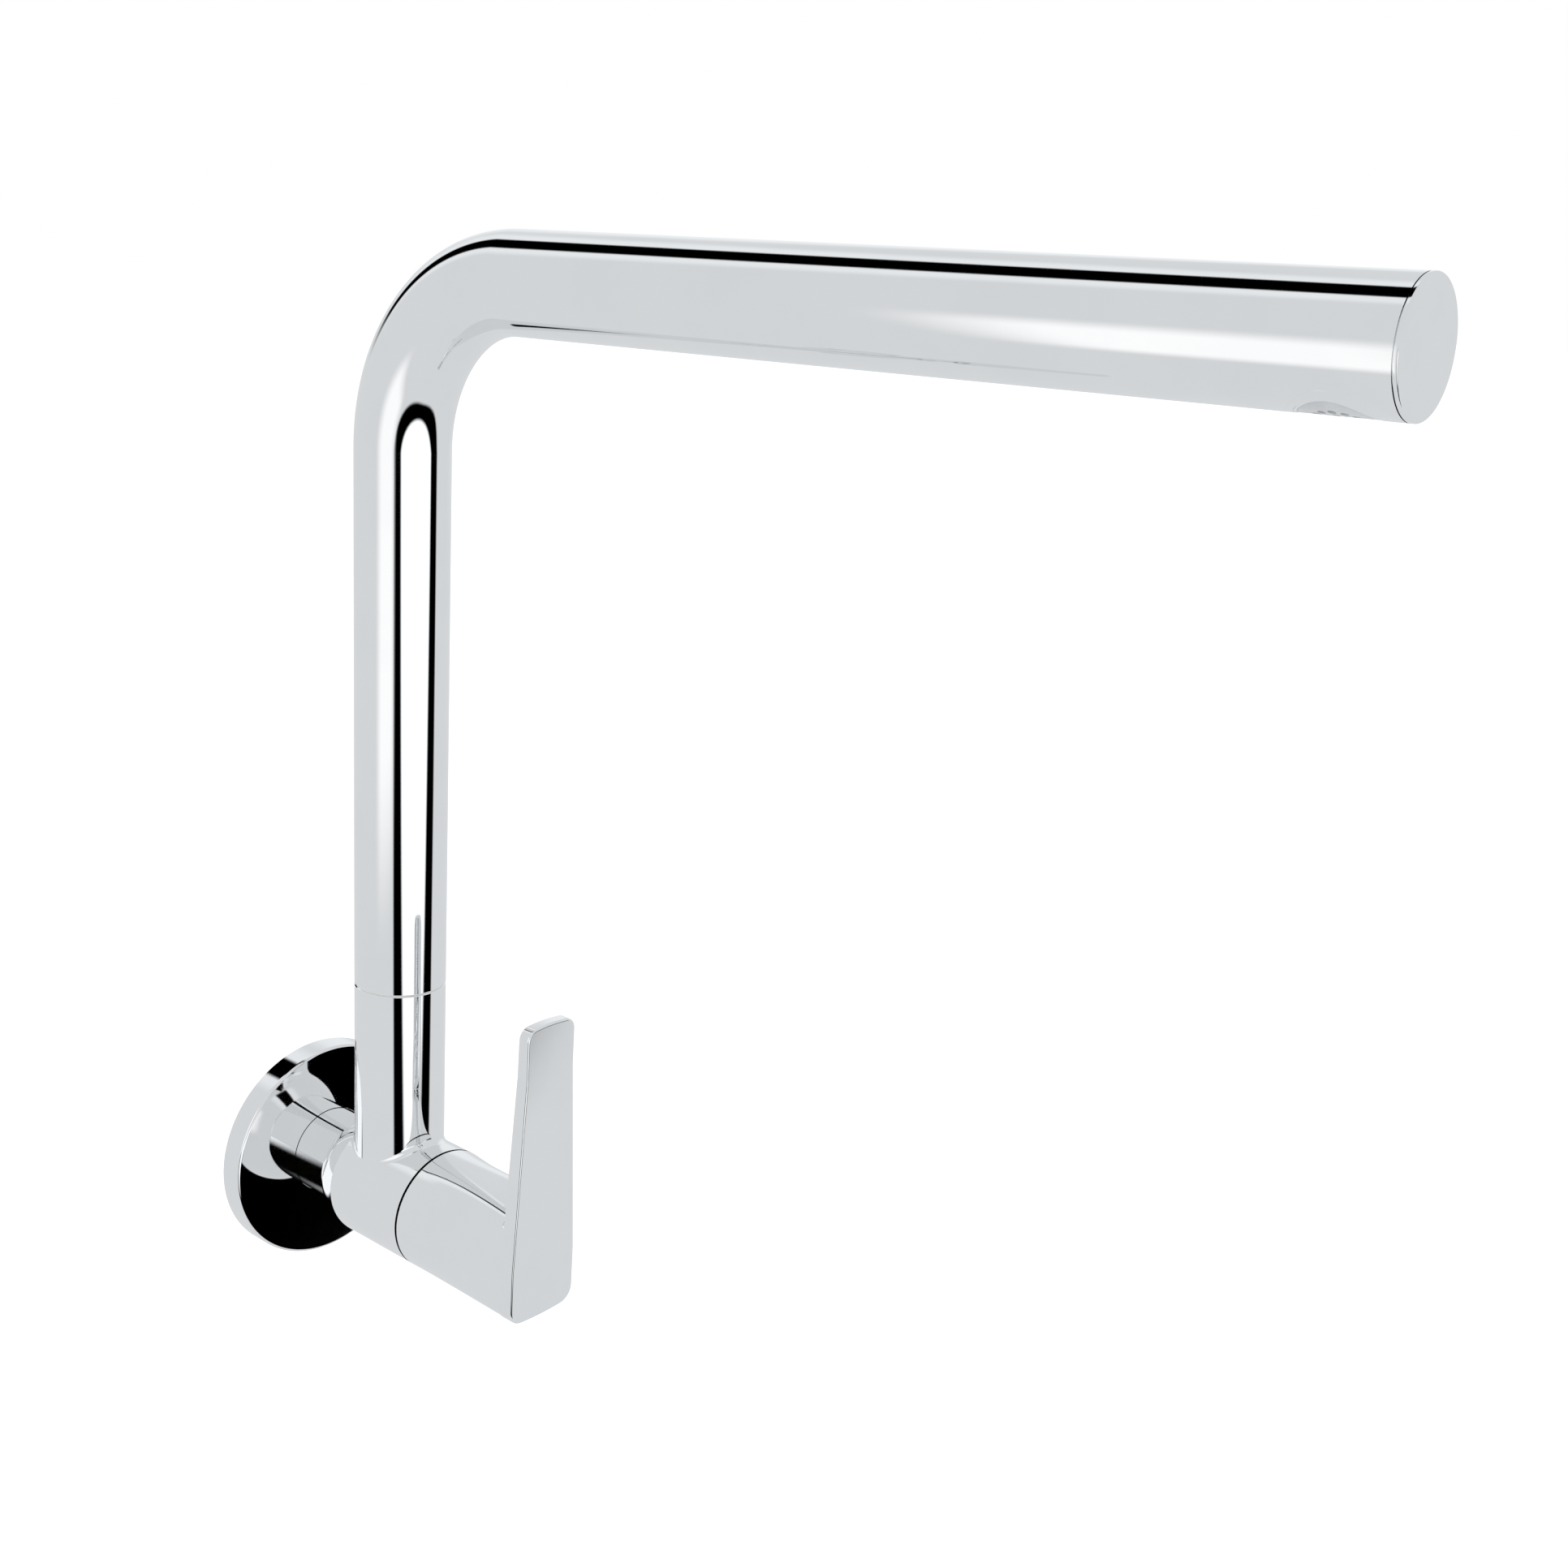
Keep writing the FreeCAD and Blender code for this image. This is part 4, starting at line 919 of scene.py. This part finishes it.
@dataclass(frozen=True)
class Studio:
    """White surround with black flags, a pale floor and the camera."""

    grey: float = 0.74
    pale: float = 0.92
    white: float = 1.18
    black: float = 0.0
    tint: tuple[float, float, float, float] = (0.962, 0.985, 1.0, 1.0)
    card_low: Vector = Vector((-0.30, -0.26, -0.04))
    card_high: Vector = Vector((-0.30, 0.04, 0.30))
    card_fade: float = 0.05
    floor_drop: float = 0.16
    floor_size: float = 60.0
    camera_place: Vector = Vector((-0.3152, -0.4269, 0.2580))
    camera_forward: Vector = Vector((0.75052, 0.60714, -0.26094))
    camera_up: Vector = Vector((0.16479, 0.21042, 0.96361))
    lens: float = 43.14
    sensor: float = 36.0

    @staticmethod
    def band(net: Net, value: Wire, low: float, high: float, soft: float) -> Wire:
        """1 between two limits, with soft edges."""
        return net.smooth(value, low - soft, low + soft) - net.smooth(value, high - soft, high + soft)

    @staticmethod
    def pillow(net: Net, across: Wire, down: Wire, power: float, soft: float) -> Wire:
        """1 inside a rounded box.

        Args:
            net: the tree that gets the nodes.
            across: sideways place, 1 at the box's side.
            down: upright place, 1 at the box's end.
            power: 2 for an ellipse, more for squarer corners.
            soft: width of the fading edge.

        Returns:
            The value, which fades to 0 at the edge.
        """
        total = (net.maths("POWER", net.maths("ABSOLUTE", across), power)
                 + net.maths("POWER", net.maths("ABSOLUTE", down), power))
        return 1.0 - net.smooth(net.maths("POWER", total, 1.0 / power), 1.0 - soft, 1.0 + soft)

    def surround(self) -> None:
        """The light that the chrome mirrors: a white window in front inside a black frame, and flags above."""
        world = bpy.data.worlds.new("studio")
        bpy.context.scene.world = world
        world.use_nodes = True
        net = Net(world.node_tree)
        everywhere = net.wire(net.node("ShaderNodeTexCoord"), "Generated")
        way = net.node("ShaderNodeSeparateXYZ", None, {0: everywhere})
        x, y, z = (net.wire(way, i) for i in range(3))
        degree = 180.0 / math.pi
        around = net.maths("ARCTAN2", x, 0.0 - y) * degree
        height = net.maths("ARCSINE", z) * degree
        below = 1.0 - net.smooth(height, -5.5, -2.5)
        frame_area = self.pillow(net, (around + 6.0) / 54.0, height / 45.0, 2.5, 0.04) * below
        pane = self.pillow(net, (around + 7.0) / 37.0, height / 32.0, 2.0, 0.06) * below
        behind = net.smooth(y, -0.05, 0.05)
        flag = (net.smooth(0.16 - x, -0.03, 0.03) * net.smooth(x + 0.22 * z, -0.03, 0.03)
                * net.smooth(z, 0.04, 0.18) * behind)
        beside_flag = (net.smooth(0.36 - x, -0.1, 0.1) * net.smooth(x + 0.32 * z + 0.1, -0.08, 0.08)
                       * net.smooth(z, 0.04, 0.4) * behind)
        right_side = self.band(net, around, 100.0, 150.0, 14.0) * self.band(net, height, -2.0, 26.0, 8.0)
        level = self.grey + (self.pale - self.grey) * right_side
        level = level + (self.white - level) * beside_flag * 0.35
        level = level + (self.black - level) * frame_area
        level = level + (self.white - level) * pane
        level = level + (self.black - level) * flag
        light = net.node("ShaderNodeBackground", None, {"Color": self.tint, "Strength": level})
        plain = net.node("ShaderNodeBackground", None, {"Color": (1.0, 1.0, 1.0, 1.0), "Strength": 1.0})
        seen = net.wire(net.node("ShaderNodeLightPath"), "Is Camera Ray")
        both = net.node("ShaderNodeMixShader", None, {0: seen, 1: light.outputs[0], 2: plain.outputs[0]})
        output = net.node("ShaderNodeOutputWorld")
        net.feed(output.inputs["Surface"], both.outputs[0])

    def floor(self) -> None:
        """A plain pale sheet below the tap."""
        bm = bmesh.new()
        bmesh.ops.create_grid(bm, x_segments=1, y_segments=1, size=0.5 * self.floor_size)
        bmesh.ops.translate(bm, verts=bm.verts, vec=UP * (CAD_LOW.z - self.floor_drop))
        sheet = finished(bm, "studio_floor")
        paint = bpy.data.materials.new("pale_floor")
        paint.use_nodes = True
        net = Net(paint.node_tree)
        shader = net.node("ShaderNodeBsdfPrincipled", None, {
            "Base Color": (0.8, 0.8, 0.8, 1.0), "Roughness": 0.9, "Specular IOR Level": 0.0,
            "Emission Color": (1.0, 1.0, 1.0, 1.0), "Emission Strength": 0.6})
        output = net.node("ShaderNodeOutputMaterial")
        net.feed(output.inputs["Surface"], shader.outputs[0])
        sheet.data.materials.append(paint)
        sheet.visible_glossy = False

    def card(self) -> None:
        """A white card beside the spout, which only the chrome mirrors."""
        low, high = self.card_low, self.card_high
        bm = bmesh.new()
        corners = (low, Vector((low.x, high.y, low.z)), high, Vector((low.x, low.y, high.z)))
        bm.faces.new([bm.verts.new(p) for p in corners])
        sheet = bpy.data.meshes.new("studio_card")
        bm.to_mesh(sheet)
        bm.free()
        card = bpy.data.objects.new("studio_card", sheet)
        bpy.context.scene.collection.objects.link(card)
        paint = bpy.data.materials.new("white_card")
        paint.use_nodes = True
        net = Net(paint.node_tree)
        place = net.node("ShaderNodeSeparateXYZ", None, {0: net.wire(net.node("ShaderNodeTexCoord"), "Object")})
        fade = self.card_fade
        lit = (self.band(net, net.wire(place, 1), low.y + fade, high.y - fade, fade)
               * self.band(net, net.wire(place, 2), low.z + fade, high.z - fade, fade))
        glow = net.node("ShaderNodeEmission", None, {"Color": (1.0, 1.0, 1.0, 1.0), "Strength": 1.08})
        clear = net.node("ShaderNodeBsdfTransparent")
        both = net.node("ShaderNodeMixShader", None, {0: lit, 1: clear.outputs[0], 2: glow.outputs[0]})
        output = net.node("ShaderNodeOutputMaterial")
        net.feed(output.inputs["Surface"], both.outputs[0])
        sheet.materials.append(paint)
        card.visible_camera = False
        card.visible_diffuse = False
        card.visible_shadow = False

    def camera(self) -> None:
        """The camera at the tap's front left, a little above the arm."""
        lens = bpy.data.cameras.new("studio_camera")
        lens.lens = self.lens
        lens.sensor_width = self.sensor
        lens.clip_start = 0.01
        eye = bpy.data.objects.new("studio_camera", lens)
        bpy.context.scene.collection.objects.link(eye)
        back = -self.camera_forward.normalized()
        right = self.camera_up.cross(back).normalized()
        above = back.cross(right)
        turned = Matrix((right, above, back)).transposed().to_4x4()
        eye.matrix_world = Matrix.Translation(self.camera_place) @ turned
        bpy.context.scene.camera = eye

    def build(self) -> None:
        """Surround, floor, card and camera, with plain colour output."""
        self.surround()
        self.floor()
        self.card()
        self.camera()
        bpy.context.scene.view_settings.view_transform = "Standard"
        bpy.context.scene.view_settings.look = "None"


def main() -> None:
    """Builds the tap's pieces in order, dresses the rest and sets the studio."""
    logging.basicConfig(level=logging.INFO, format="%(name)s: %(message)s")
    for part in (SpoutTube(), EndCap(), ValveBody(), WallFlange(), InletNipple(), Lever()):
        part.build()
    Insides().dress()
    Studio().build()


if __name__ == "__main__":
    main()
